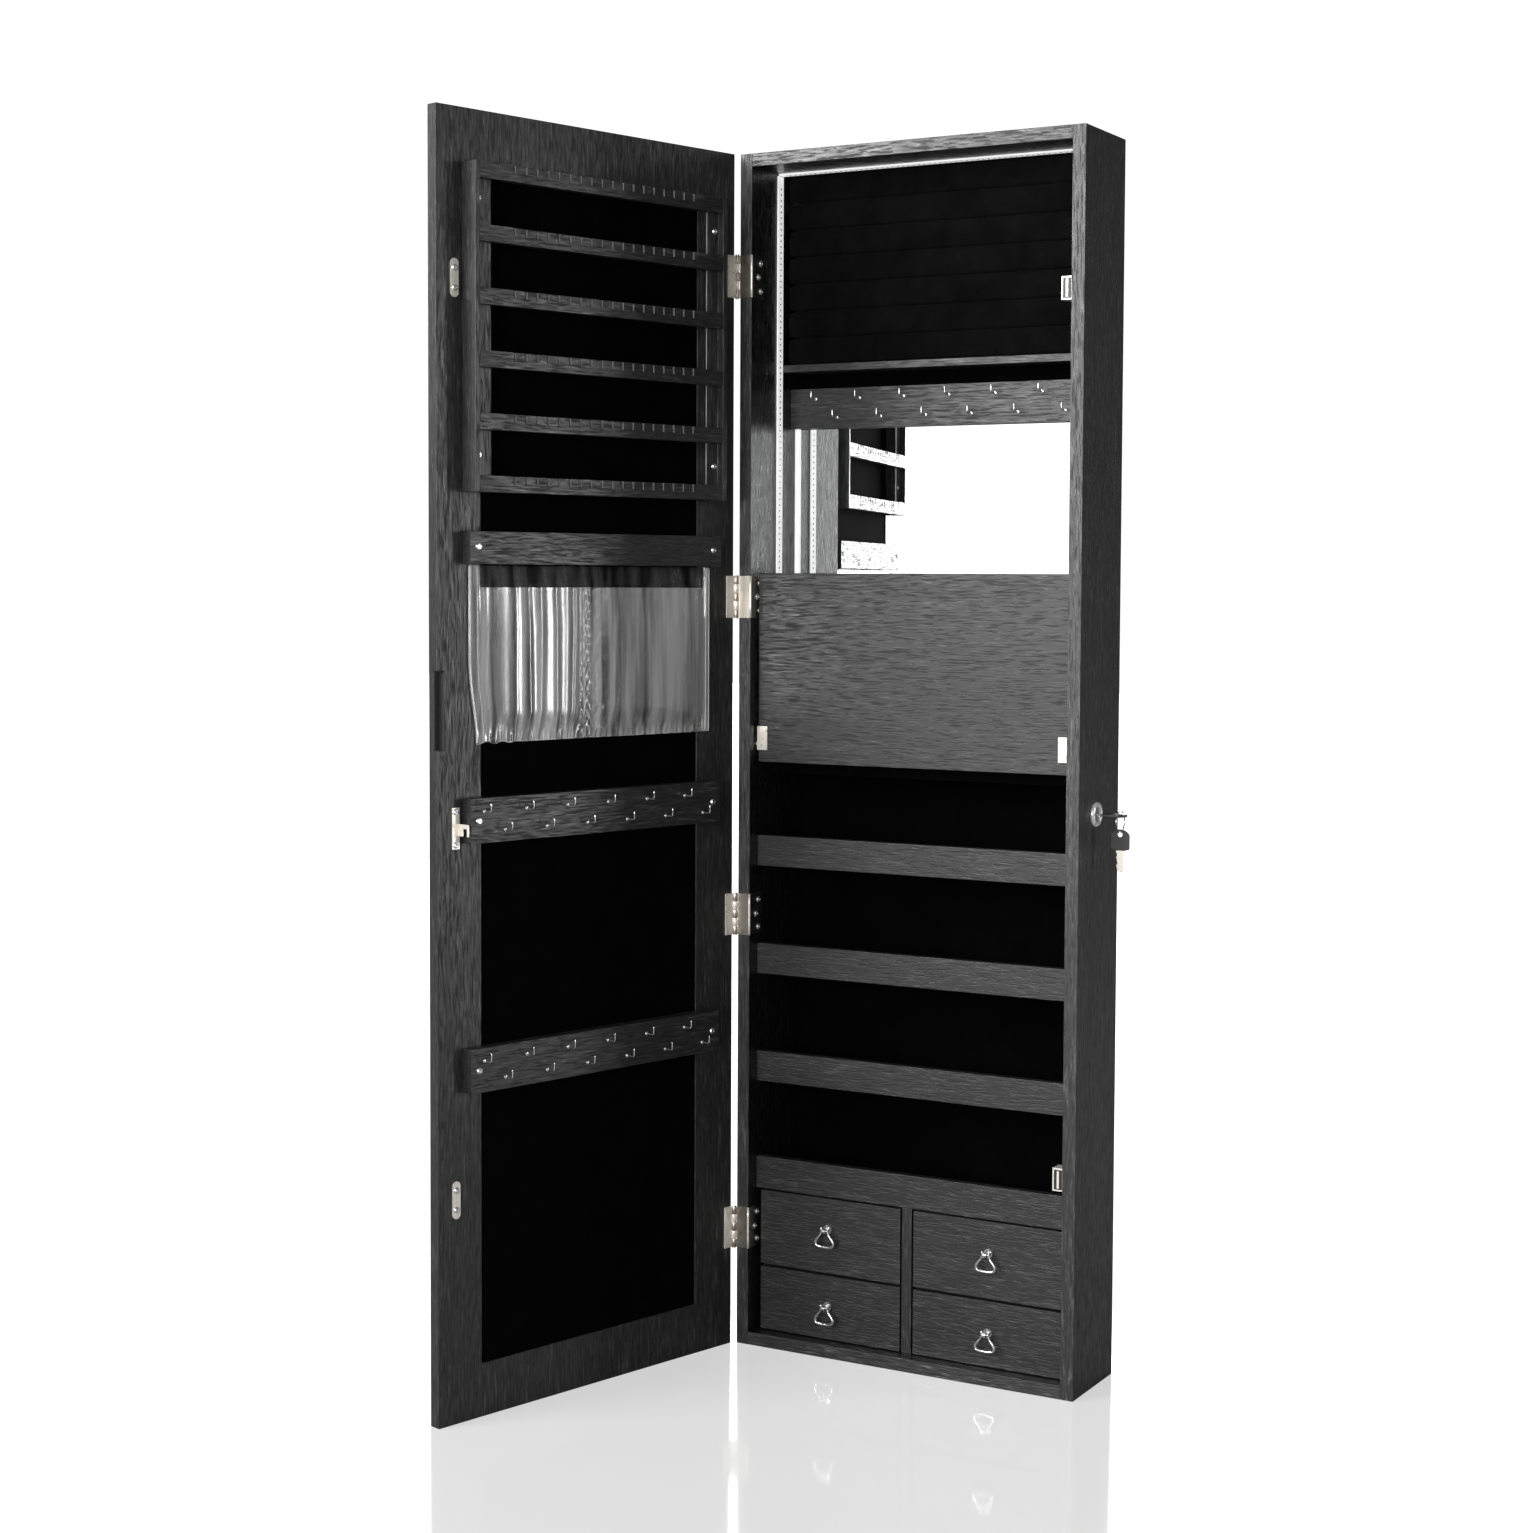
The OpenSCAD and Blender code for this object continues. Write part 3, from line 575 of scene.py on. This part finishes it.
def hook_shape():
    """A bent-wire hook that leaves the wall at the origin towards -Y, with its collar."""
    straight = HOOK_OUT - HOOK_BEND
    line = [(y, 0.0) for y in (2.0, -2.0, -5.0, -straight)]
    line += [(-straight - HOOK_BEND * math.sin(a), HOOK_BEND * (1 - math.cos(a)))
             for a in (math.pi / 8 * k for k in range(1, 5))]
    line += [(-HOOK_OUT, z) for z in (3.6, 5.4, 7.0, 7.7, HOOK_UP)]
    radii = [HOOK_WIRE] * (len(line) - 2) + [HOOK_WIRE * 0.8, HOOK_WIRE * 0.35]
    store = ([], [])
    add(store, tube([Vector((0, y * MM, z * MM)) for y, z in line], radii))
    add(store, dome(2.0 * MM, 0.55 * MM, 3, 14, 0.35 * MM), Matrix.Rotation(math.pi / 2, 4, "X"))
    return store


def hook_places(start, step, upper, lower):
    """Twelve hooks in two staggered rows, in millimetres along and up."""
    for i in range(6):
        yield start + i * step, upper
        yield start + (i + LOWER_SHIFT) * step, lower


HOOK = hook_shape()
cabinet_hooks = ([], [])
bar_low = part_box("cabinet_hook_bar")[0]
for x, z in hook_places(**CABINET_HOOKS):
    add(cabinet_hooks, HOOK, Matrix.Translation((x * MM, bar_low.y, bar_low.z + z * MM)))
piece("cabinet_hook_wires", *cabinet_hooks, "cabinet", "chrome", CHROME, ["cabinet_hooks"])

# the door's rows are drawn on the bar's own face, which looks back into the shut cabinet
FACE_CABINET = DOOR.to_3x3().to_4x4() @ Matrix.Rotation(math.pi, 4, "Z")
door_hooks = ([], [])
for level in DOOR_BAR_LEVELS:
    for x, z in hook_places(**DOOR_HOOKS):
        spot = on_door(-x * MM, BAR_T, (level + z) * MM)
        add(door_hooks, HOOK, Matrix.Translation(spot) @ FACE_CABINET)
piece("door_hook_wires", *door_hooks, "door", "chrome", CHROME, ["door_hooks"])

# ---------------------------------------------------------------- raw edge of the rack's hinge-side strip

RACK_HALF = 156
END_BOARD_T = 5
STRIP_W = 15
RACK_LOW = 855
RAIL_COUNT = 6
RAIL_PITCH = 56.2
RAIL_H = 15
raw_edges = ([], [])
edge_x = END_BOARD_T + STRIP_W - RACK_HALF
heights = (RAIL_H, (RAIL_H + RAIL_PITCH) / 2, RAIL_PITCH)
for n in range(RAIL_COUNT - 1):
    line = [on_door(edge_x * MM, BAR_T - 0.3 * MM, (RACK_LOW + n * RAIL_PITCH + up) * MM) for up in heights]
    add(raw_edges, tube(line, 0.5 * MM, 8))
piece("rack_raw_edges", *raw_edges, "door", "pale_trim", RAW_BOARD)

# ---------------------------------------------------------------- drawer rings

BELL_SIDE = [(2.8, 0.1), (3.9, -1.8), (5.2, -4.6), (7.8, -7.6), (9.6, -10.4), (10.0, -13.0), (8.6, -15.3),
             (4.4, -16.2)]
BELL = [(0.0, 0.0)] + BELL_SIDE + [(0.0, -16.3)] + mirrored(BELL_SIDE)
EAR = [(3.4, -1.2), (3.7, 0.8), (3.6, 2.8), (3.4, 4.0)]
EAR_RADII = [1.0 * MM, 1.1 * MM, 0.9 * MM, 0.35 * MM]
RING_EYE_DOWN = 1.2 * MM


def bell_ring(at):
    """A cast drop ring: thin where it passes the eye, heavier at its foot, with two small ears."""
    move = Matrix.Translation(at)
    line = smooth_loop([Vector((x * MM, 0, z * MM)) for x, z in BELL], 4)
    radii = [(1.04 + 0.46 * smoothstep(-2, -12, p.z / MM)) * MM for p in line]
    store = ([], [])
    add(store, tube(line, radii, closed=True), move)
    for side in (-1, 1):
        add(store, tube([Vector((side * x * MM, 0, z * MM)) for x, z in EAR], EAR_RADII), move)
    return store


for drawer in ("ll", "lr", "ul", "ur"):
    node = f"drawer_{drawer}_ring"
    low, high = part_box(node)
    eye = Vector(((low.x + high.x) / 2, (low.y + high.y) / 2, high.z - RING_EYE_DOWN))
    piece(f"pull_ring_{drawer}", *bell_ring(eye), f"ring_{drawer}", "chrome", CHROME, [node])

# ---------------------------------------------------------------- dots of the pale strip

strip_low, strip_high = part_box("trim_strip")
STRIP_MID = strip_low.y + 5.25 * MM
STRIP_T = 1.5 * MM
STRIP_END = 6 * MM
STRIP_CORNER = 12 * MM
DOT_PITCH = 5.8 * MM


def dots(start, end, spot):
    """Moves for a row of dots, where spot turns a distance along the strip into a dot's move."""
    while start < end:
        yield spot(start)
        start += DOT_PITCH


def up_the_wall(z):
    """The move of a dot on the strip's upright run, facing away from the wall."""
    return Matrix.Translation((STRIP_T - WALL_X, STRIP_MID, z)) @ Matrix.Rotation(math.pi / 2, 4, "Y")


def under_the_top(x):
    """The move of a dot on the strip's level run, facing down."""
    return Matrix.Translation((x, STRIP_MID, strip_high.z - STRIP_T)) @ Matrix.Rotation(math.pi, 4, "X")


beads = ([], [])
dot = dome(1.15 * MM, 0.45 * MM, 3, 10)
for move in dots(strip_low.z + STRIP_END, strip_high.z - STRIP_CORNER, up_the_wall):
    add(beads, dot, move)
for move in dots(STRIP_CORNER - WALL_X, strip_high.x - STRIP_END, under_the_top):
    add(beads, dot, move)
piece("strip_beads", *beads, "cabinet", "pale_trim", BEAD)

# ---------------------------------------------------------------- ring cushion

pad_low, pad_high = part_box("ring_cushion")
ROLLS = 7
ROLL_RINGS = 72
ROLL_SIDES = 20
ROLL_SQUARENESS = 0.42
ROLL_END = 26
OVERLAP = 1.01


def squared(value):
    """Pushes a sine or cosine outwards, so that a round section turns squarer."""
    return math.copysign(abs(value) ** ROLL_SQUARENESS, value)


def velvet_roll(mid_z, roll, sway):
    """One long velvet roll, a little uneven along its length and drawn in at its ends."""
    half_x = (pad_high.x - pad_low.x) / 2
    mid_x = (pad_high.x + pad_low.x) / 2
    half_y = (pad_high.y - pad_low.y) / 2
    verts = []
    for i in range(ROLL_RINGS + 1):
        u = -1 + 2 * i / ROLL_RINGS
        end = 1 - abs(u) ** ROLL_END
        swell = 1 + 0.012 * math.sin(7 * u + sway) + 0.008 * math.sin(19 * u + 2 * sway)
        for a in (math.tau * k / ROLL_SIDES for k in range(ROLL_SIDES)):
            z = mid_z + 0.5 * roll * OVERLAP * end ** 0.25 * squared(math.sin(a))
            y = pad_low.y + half_y - half_y * end ** 0.2 * swell * squared(math.cos(a))
            verts.append(Vector((mid_x + half_x * u * 0.998, y, z)))
    ends = [cap(0, ROLL_SIDES), cap(ROLL_RINGS, ROLL_SIDES)]
    return verts, skin(ROLL_RINGS + 1, ROLL_SIDES) + ends


def ring_pad():
    """Velvet rolls side by side, with a slit for rings between each two."""
    roll = (pad_high.z - pad_low.z) / ROLLS
    chance = random.Random(11)
    store = ([], [])
    for n in range(ROLLS):
        add(store, velvet_roll(pad_low.z + (n + 0.5) * roll, roll, chance.uniform(0, math.tau)))
    return piece("ring_rolls", *store, "cabinet", "velvet", PILE, ["ring_cushion"])


pad = ring_pad()

# ---------------------------------------------------------------- clear pouch

POUCH_LOW = 627.0
POUCH_MOUTH = 769.0
POUCH_TOP = 789.0
POUCH_HALF = 150.0
POCKET_SEAM = 8.0
POUCH_SEAM_X = 138.5
FILM_FOOT = 1.3
FILM_BELLY = 7.2
FILM_LIMITS = (0.9, 12.6)
SEAM_HALF = 4.0
CORNER_START = 70.0
CORNER_PULL = 8.5
FOLD_SHARE = 0.62
CRUMPLE_X = POCKET_SEAM - 1.5
BUNCH_X = -134.0
BUNCH_Z = POUCH_TOP - 12


def pleats(seed, low, high, pitch, width, height):
    """Soft upright folds for one pocket: centre at the mouth and at the foot, width, height."""
    chance = random.Random(seed)
    folds, x = [], low + 5
    while x < high - 4:
        mouth, foot = x + chance.uniform(-3, 3), x + chance.uniform(-4.5, 4.5)
        folds.append((mouth, foot, chance.uniform(*width), chance.uniform(*height)))
        x += chance.uniform(*pitch)
    return folds


FOLDS = pleats(5, -POUCH_HALF + 8, POCKET_SEAM - 4, pitch=(12, 22), width=(5.0, 9.0), height=(-0.5, 1.4))
FOLDS += pleats(9, POCKET_SEAM + 4, POUCH_HALF - 8, pitch=(8, 17), width=(2.8, 6.0), height=(-1.0, 3.6))


def bell(value, width):
    """A soft hump of height 1 about zero."""
    return math.exp(-((value / width) ** 2))


def corner_share(x, v, height):
    """The share of the free lower corner's pull at a point. The pull ends at a share of the height."""
    return smoothstep(CORNER_START, POUCH_HALF, x) * (1 - smoothstep(0.0, height, v))


def film_out(x, z, v):
    """How far the front film stands off the door: its belly, folds, crumples and foot, in millimetres."""
    low, high = (-POUCH_HALF, POCKET_SEAM) if x < POCKET_SEAM else (POCKET_SEAM, POUCH_HALF)
    across = max(0.0, 1 - ((x - (low + high) / 2) / ((high - low) / 2 - SEAM_HALF)) ** 2)
    belly = across ** 0.5 * (0.35 + 0.65 * smoothstep(0.0, 0.22, v)) * (1 - 0.25 * smoothstep(0.7, 1.0, v))
    out = FILM_FOOT + FILM_BELLY * belly
    fold_size = FOLD_SHARE * min(1.0, across * 3) * (0.45 + 0.55 * smoothstep(0.0, 0.15, v))
    for mouth, foot, width, height in FOLDS:
        out += fold_size * height * bell(x - foot - (mouth - foot) * v, width)
    # crumpled film where the two pockets meet
    crumple = math.sin(z * 0.53 + 2 * math.sin(x * 0.5)) + 0.7 * math.sin(z * 0.27 + x * 0.9)
    out += 0.75 * bell(x - CRUMPLE_X, 14.0) * crumple * (1 - 0.7 * smoothstep(0.05, 0.6, v))
    # film bunched at the mouth's hinge end
    bunch = bell(x - BUNCH_X, 9.0) * bell(z - BUNCH_Z, 10.0)
    out += bunch * (1.6 + 0.7 * math.sin(x * 1.1 + z * 0.6) + 0.5 * math.sin(z * 1.3 - x * 0.4))
    # crinkles of the foot weld
    out += 0.35 * (1 - smoothstep(0.0, 0.09, v)) * (math.sin(x * 0.9) + math.sin(x * 0.41 + 1.7))
    return min(max(out, FILM_LIMITS[0]), FILM_LIMITS[1])


def pouch_front(u, v):
    """A point of the front film: u along the door from -1 to 1, v from 0 at the foot to 1 at the mouth."""
    x = POUCH_HALF * u
    top = POUCH_MOUTH + (POUCH_TOP - POUCH_MOUTH) * smoothstep(POUCH_SEAM_X, POUCH_SEAM_X + 1.5, abs(x))
    z = POUCH_LOW + (top - POUCH_LOW) * v
    out = film_out(x, z, v)
    corner = corner_share(x, v, 0.55)
    x -= CORNER_PULL * corner ** 1.6
    z += 1.5 * corner * math.sin(x * 0.35)
    return on_door(x * MM, out * MM, z * MM)


def pouch_back(u, v):
    """A point of the flat back film, which leans out a little above the mouth."""
    x = POUCH_HALF * u
    z = POUCH_LOW + (POUCH_TOP - POUCH_LOW) * v
    wave = 0.10 * math.sin(x * 0.05) * (1 - abs(u) ** 4)
    lean = 3.2 * smoothstep(POUCH_MOUTH - 4, POUCH_MOUTH, z) * (POUCH_TOP - z) / (POUCH_TOP - POUCH_MOUTH)
    inner = 1 - smoothstep(POUCH_SEAM_X - 2, POUCH_SEAM_X, abs(x))
    x -= CORNER_PULL * corner_share(x, v, 0.48) ** 1.6
    return on_door(x * MM, (0.55 + wave + lean * inner) * MM, z * MM)


def film(name, point, columns, rows, paint, stands_for=()):
    """A thin film over a grid of points."""
    verts = [point(-1 + 2 * i / columns, j / rows) for j in range(rows + 1) for i in range(columns + 1)]
    wide = columns + 1
    faces = [
        (j * wide + i, j * wide + i + 1, (j + 1) * wide + i + 1, (j + 1) * wide + i)
        for j in range(rows) for i in range(columns)
    ]
    return piece(name, verts, faces, "door", "clear_vinyl", paint, stands_for)


front = film("pouch_front", pouch_front, 360, 64, VINYL, ["pouch"])
back = film("pouch_back", pouch_back, 120, 40, VINYL_FLAT)

# welded edges and the pouch's foot, as thin glossy beads of film
rims = ([], [])
OUTWARDS = on_door(0, 0.25 * MM, 0) - on_door(0, 0, 0)
for u in (-1.0, -0.965, 0.945, 1.0):
    add(rims, tube([pouch_front(u, j / 40) + OUTWARDS for j in range(41)], 0.35 * MM, 8))
add(rims, tube([pouch_front(-1 + 2 * i / 160, 0.0) for i in range(161)], 0.45 * MM, 8))
piece("pouch_rims", *rims, "door", "clear_vinyl", VINYL_RIM)

# ---------------------------------------------------------------- keys and split ring

key_low, key_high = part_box("key")
LOCK_Z = (key_low.z + key_high.z) / 2
LOCK_Y = (key_low.y + key_high.y) / 2
BOW_X = 208.0 * MM
BOW_R = 9.0 * MM
SHANK_X = BOW_X - 13.4 * MM
KEY_TEETH = (1.0, 0.3, 1.3, 0.6, 0.2)
SPARE_TEETH = (1.1, 0.4, 1.4, 0.8, 0.3, 1.0)
FACE_FRONT = Matrix.Rotation(math.pi / 2, 4, "X")


def key_blade_outline(length, half, teeth):
    """A blade's outline: straight back, cut front and a pointed tip."""
    spine = [(0, half), (length - 1.6 * MM, half), (length, half * 0.2)]
    cut = [(length - 2.0 * MM, -half * 0.55)]
    step = (length - 5 * MM) / len(teeth)
    for i, depth in enumerate(teeth):
        x = length - 3.0 * MM - i * step
        cut += [(x, -half + depth * MM), (x - step * 0.45, -half + depth * MM)]
    return spine + cut + [(2.0 * MM, -half), (0, -half)]


def lock_key():
    """The key in the lock: a round bow with a square heel, and its blade."""
    heel = [(-12.5, 8.1), (-14.2, 6.4), (-14.2, -6.4), (-12.5, -8.1)]
    bow = arc(BOW_X, LOCK_Y, BOW_R, -64, 64, 22) + [(BOW_X + x * MM, LOCK_Y + y * MM) for x, y in heel]
    level = Matrix.Translation((0, 0, LOCK_Z))
    plate("key_bow", [bow, circle(BOW_X, LOCK_Y, 4 * MM)], 3 * MM, 0.6 * MM, level,
          "key", "black_plastic", BLACK_PLASTIC, ["key"])
    shank = key_blade_outline(SHANK_X - key_low.x - 1 * MM, 3.4 * MM, KEY_TEETH)
    into_lock = Matrix.Translation((SHANK_X, LOCK_Y, LOCK_Z)) @ Matrix.Rotation(math.pi, 4, "Z")
    plate("key_blade", [shank], 1.7 * MM, 0.2 * MM, into_lock, "key", "chrome", CHROME)


def split_ring():
    """Almost two turns of round wire that lie side by side."""
    low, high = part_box("key_ring")
    middle = (low + high) / 2
    reach = (high.z - low.z) / 2 - 0.8 * MM
    start, turns, wire, across, steps = math.radians(115), 1.92, 0.42 * MM, 0.95 * MM, 160
    coil = []
    for t in (i / steps for i in range(steps + 1)):
        a = start + math.tau * turns * t
        coil.append(middle + Vector(((t - 0.5) * across, math.cos(a) * reach, math.sin(a) * reach)))
    piece("split_ring_coil", *tube(coil, wire), "split_ring", "chrome", RING_STEEL, ["key_ring"])


def spare_key():
    """The key that hangs on the ring: a wide head with square shoulders, and its blade."""
    low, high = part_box("spare_key")
    head_r = 11 * MM
    middle = Vector(((low.x + high.x) / 2, (low.y + high.y) / 2, high.z - head_r))
    shoulder = [(x * MM, y * MM) for x, y in ((6, -9.4), (8.6, -8.6), (9.5, -7.2), (9.5, 4.5))]
    head = shoulder + arc(0, 0, head_r, 32, 148, 20) + mirrored(shoulder)
    hole_up = joint("spare_key_swing")["pos_m"][2] - middle.z - 1.4 * MM
    plate("spare_head", [head, circle(0, hole_up, 2.6 * MM)], 2.6 * MM, 0.5 * MM,
          Matrix.Translation(middle) @ FACE_FRONT, "spare", "black_plastic", BLACK_PLASTIC, ["spare_key"])
    neck = Vector((middle.x, middle.y, middle.z - 9.2 * MM))
    blade = key_blade_outline(neck.z - low.z, 3.7 * MM, SPARE_TEETH)
    plate("spare_blade", [blade], 1.6 * MM, 0.2 * MM,
          Matrix.Translation(neck) @ FACE_FRONT @ Matrix.Rotation(-math.pi / 2, 4, "Z"),
          "spare", "chrome", NICKEL)


lock_key()
split_ring()
spare_key()

# ---------------------------------------------------------------- lock rim, hinge leaves, catches, felt

HINGE_LEVELS = (120, 440, 760, 1079)
LEAF_TALL = 42
CATCH_TALL = 22 * MM
CATCH_RIM = 1.5 * MM
FELT = 0.4 * MM
# how far a card on a face reaches into it
SUNK = 0.1 * MM


def lock_rim():
    """The turned rim of the lock's flange."""
    low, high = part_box("lock_body")
    wire = 2.6 * MM
    reach = (high.z - low.z) / 2 - wire - 0.1 * MM
    loop = [Vector((high.x - 1.2 * MM, LOCK_Y + math.cos(a) * reach, LOCK_Z + math.sin(a) * reach))
            for a in (math.tau * k / 48 for k in range(48))]
    piece("lock_rim", *tube(loop, wire, 20, closed=True), "cabinet", "chrome", RIM_CHROME)


def leaf_bends():
    """The round bend of each cabinet hinge leaf, where it turns round the front edge."""
    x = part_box("cabinet_hinge_leaves")[1].x - 0.9 * MM
    y = CABINET_FRONT - 0.5 * MM
    bends = ([], [])
    for level in HINGE_LEVELS:
        line = [Vector((x, y, (level + t * LEAF_TALL) * MM)) for t in (-0.5, -0.25, 0.0, 0.25, 0.5)]
        add(bends, tube(line, 1.2 * MM, 12))
    piece("leaf_bends", *bends, "cabinet", "nickel", NICKEL)


def catch_faces():
    """A dark well and a bright bar on the front of each magnetic catch."""
    box_low, box_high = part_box("magnet_catches")
    for n, foot in enumerate((box_low.z, box_high.z - CATCH_TALL)):
        low = Vector((box_low.x + CATCH_RIM, box_low.y - 0.08 * MM, foot + CATCH_RIM))
        high = Vector((box_high.x - CATCH_RIM * 0.4, box_low.y + SUNK, foot + CATCH_TALL - CATCH_RIM))
        card(f"catch_well_{n}", low, high, "cabinet", "black_plastic", BLACK_PLASTIC)
        middle = (low.x + high.x) / 2
        bar_low = Vector((middle - 1.1 * MM, low.y - 0.35 * MM, low.z + 1.2 * MM))
        bar_high = Vector((middle + 1.1 * MM, high.y, high.z - 1.2 * MM))
        card(f"catch_bar_{n}", bar_low, bar_high, "cabinet", "nickel", NICKEL)


def back_felt():
    """Felt over the whole front of the back panel."""
    low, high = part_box("back_panel")
    card("back_felt", Vector((low.x + FELT, low.y - FELT, low.z + FELT)),
         Vector((high.x - FELT, low.y + SUNK, high.z - FELT)), "cabinet", "velvet", VELVET)


lock_rim()
leaf_bends()
catch_faces()
back_felt()

# ---------------------------------------------------------------- floor, light and camera

STUDIO_LEVELS = {"left": 0.12, "ahead": 1.5, "above": 0.1, "right": 0.35, "behind": 2.2, "even": 0.05}


def pale_floor():
    """A pale, faintly glossy floor for the camera, and a dim plain one for every other ray."""
    reach = 14.0
    corners = [(-reach, -reach, 0), (reach, -reach, 0), (reach, reach, 0), (-reach, reach, 0)]
    mesh = bpy.data.meshes.new("floor")
    mesh.from_pydata(corners, [], [(0, 1, 2, 3)])
    floor = bpy.data.objects.new("floor", mesh)
    bpy.context.scene.collection.objects.link(floor)
    floor.location.z = -0.2 * MM
    p = Paint("pale_floor", Base_Color=(0.25, 0.25, 0.25, 1), IOR=1.45, Roughness=0.07,
              Emission_Color=(1, 1, 1, 1), Emission_Strength=0.56)
    dim = p.node("ShaderNodeBsdfDiffuse")
    dim.inputs["Color"].default_value = (0.30, 0.30, 0.30, 1)
    seen = p.node("ShaderNodeMixShader")
    p.link(p.node("ShaderNodeLightPath").outputs["Is Camera Ray"], seen.inputs[0])
    p.link(dim.outputs[0], seen.inputs[1])
    p.link(p.shader.outputs[0], seen.inputs[2])
    p.link(seen.outputs[0], p.tree.nodes["Material Output"].inputs["Surface"])
    mesh.materials.append(p.mat)
    return floor


def studio_world():
    """A white studio that is open and bright in front and to the left, and darker to the right."""
    world = bpy.data.worlds.new("studio")
    world.use_nodes = True
    tree = world.node_tree
    tree.nodes.clear()

    def node(kind, **settings):
        made = tree.nodes.new(kind)
        for key, value in settings.items():
            setattr(made, key, value)
        return made

    def calc(operation, a, b):
        made = node("ShaderNodeMath", operation=operation)
        for socket, value in zip(made.inputs, (a, b)):
            if isinstance(value, (int, float)):
                socket.default_value = value
            else:
                tree.links.new(value, socket)
        return made.outputs[0]

    def step_to(value, start, end, low=0.0, high=1.0):
        made = node("ShaderNodeMapRange", interpolation_type="SMOOTHSTEP")
        tree.links.new(value, made.inputs["Value"])
        for key, number in (("From Min", start), ("From Max", end), ("To Min", low), ("To Max", high)):
            made.inputs[key].default_value = number
        return made.outputs["Result"]

    def background(strength):
        made = node("ShaderNodeBackground")
        made.inputs["Color"].default_value = (1, 1, 1, 1)
        if isinstance(strength, float):
            made.inputs["Strength"].default_value = strength
        else:
            tree.links.new(strength, made.inputs["Strength"])
        return made.outputs[0]

    parts = node("ShaderNodeSeparateXYZ")
    tree.links.new(node("ShaderNodeTexCoord").outputs["Generated"], parts.inputs[0])
    x, y, z = parts.outputs
    back_left = calc("ADD", calc("MULTIPLY", x, -0.5), calc("MULTIPLY", y, 0.87))
    lobes = {
        "left": step_to(x, -0.12, 0.30, 1.0, 0.0),
        "ahead": step_to(y, -0.55, -0.90),
        "above": step_to(z, 0.45, 0.9),
        "right": step_to(x, 0.86, 0.97),
        "behind": step_to(back_left, 0.84, 0.91),
    }
    total = STUDIO_LEVELS["even"]
    for name, lobe in lobes.items():
        total = calc("ADD", total, calc("MULTIPLY", lobe, STUDIO_LEVELS[name]))
    choose = node("ShaderNodeMixShader")
    tree.links.new(node("ShaderNodeLightPath").outputs["Is Camera Ray"], choose.inputs[0])
    tree.links.new(background(total), choose.inputs[1])
    tree.links.new(background(1.05), choose.inputs[2])
    tree.links.new(choose.outputs[0], node("ShaderNodeOutputWorld").inputs["Surface"])
    bpy.context.scene.world = world


def softbox(name, place, target, width, height, power):
    """A rectangular light that looks at a target and isn't seen itself."""
    light = bpy.data.lights.new(name, "AREA")
    light.shape = "RECTANGLE"
    light.size, light.size_y = width, height
    light.energy = power
    lamp = bpy.data.objects.new(name, light)
    lamp.location = place
    lamp.rotation_euler = (Vector(target) - Vector(place)).to_track_quat("-Z", "Y").to_euler()
    lamp.visible_camera = False
    bpy.context.scene.collection.objects.link(lamp)


def photo_camera():
    """The photo's camera, solved from the corners of the cabinet and the door."""
    eye = Vector((1.08607, -2.20564, 0.77669))
    turn, tilt, roll = (math.radians(a) for a in (-29.058, 2.946, 0.284))
    ahead = Vector((math.sin(turn) * math.cos(tilt), math.cos(turn) * math.cos(tilt), -math.sin(tilt)))
    level = Vector((math.cos(turn), -math.sin(turn), 0))
    upward = level.cross(ahead)
    right = level * math.cos(roll) + upward * math.sin(roll)
    up = -level * math.sin(roll) + upward * math.cos(roll)
    lens = bpy.data.cameras.new("camera")
    lens.sensor_width = 36
    lens.lens = 58.43
    lens.shift_x, lens.shift_y = -0.0235, -0.0378
    lens.clip_start, lens.clip_end = 0.05, 60
    camera = bpy.data.objects.new("camera", lens)
    camera.matrix_world = Matrix((
        (right.x, up.x, -ahead.x, eye.x),
        (right.y, up.y, -ahead.y, eye.y),
        (right.z, up.z, -ahead.z, eye.z),
        (0, 0, 0, 1),
    ))
    bpy.context.scene.collection.objects.link(camera)
    bpy.context.scene.camera = camera


floor = pale_floor()
studio_world()

# the strips stand to the right, where the open door's inner face mirrors them as a soft sheen
AIM_LOW = (0.0, 0.0, 0.5)
AIM_MIDDLE = (0.0, 0.0, 0.6)
AIM_HIGH = (0.0, 0.0, 0.9)
DOOR_FACE = (-0.2, -0.3, 0.7)
softbox("key_low", (0.1, -3.2, 0.9), AIM_LOW, width=1.4, height=0.8, power=42)
softbox("front_left", (-1.9, -2.6, 1.85), AIM_HIGH, width=1.4, height=1.4, power=95)
softbox("strip_a", (2.35, 0.95, 0.75), DOOR_FACE, width=0.34, height=1.5, power=14.0)
softbox("strip_b", (2.6, 0.15, 0.75), DOOR_FACE, width=0.12, height=1.5, power=1.4)
softbox("strip_c", (2.5, -0.75, 0.75), DOOR_FACE, width=0.20, height=1.5, power=2.4)
softbox("behind", (-1.6, 3.2, 1.8), AIM_MIDDLE, width=1.4, height=1.4, power=60)

photo_camera()
bpy.context.scene.view_settings.view_transform = "Standard"

# ---------------------------------------------------------------- last update of the scene

bpy.context.view_layer.update()
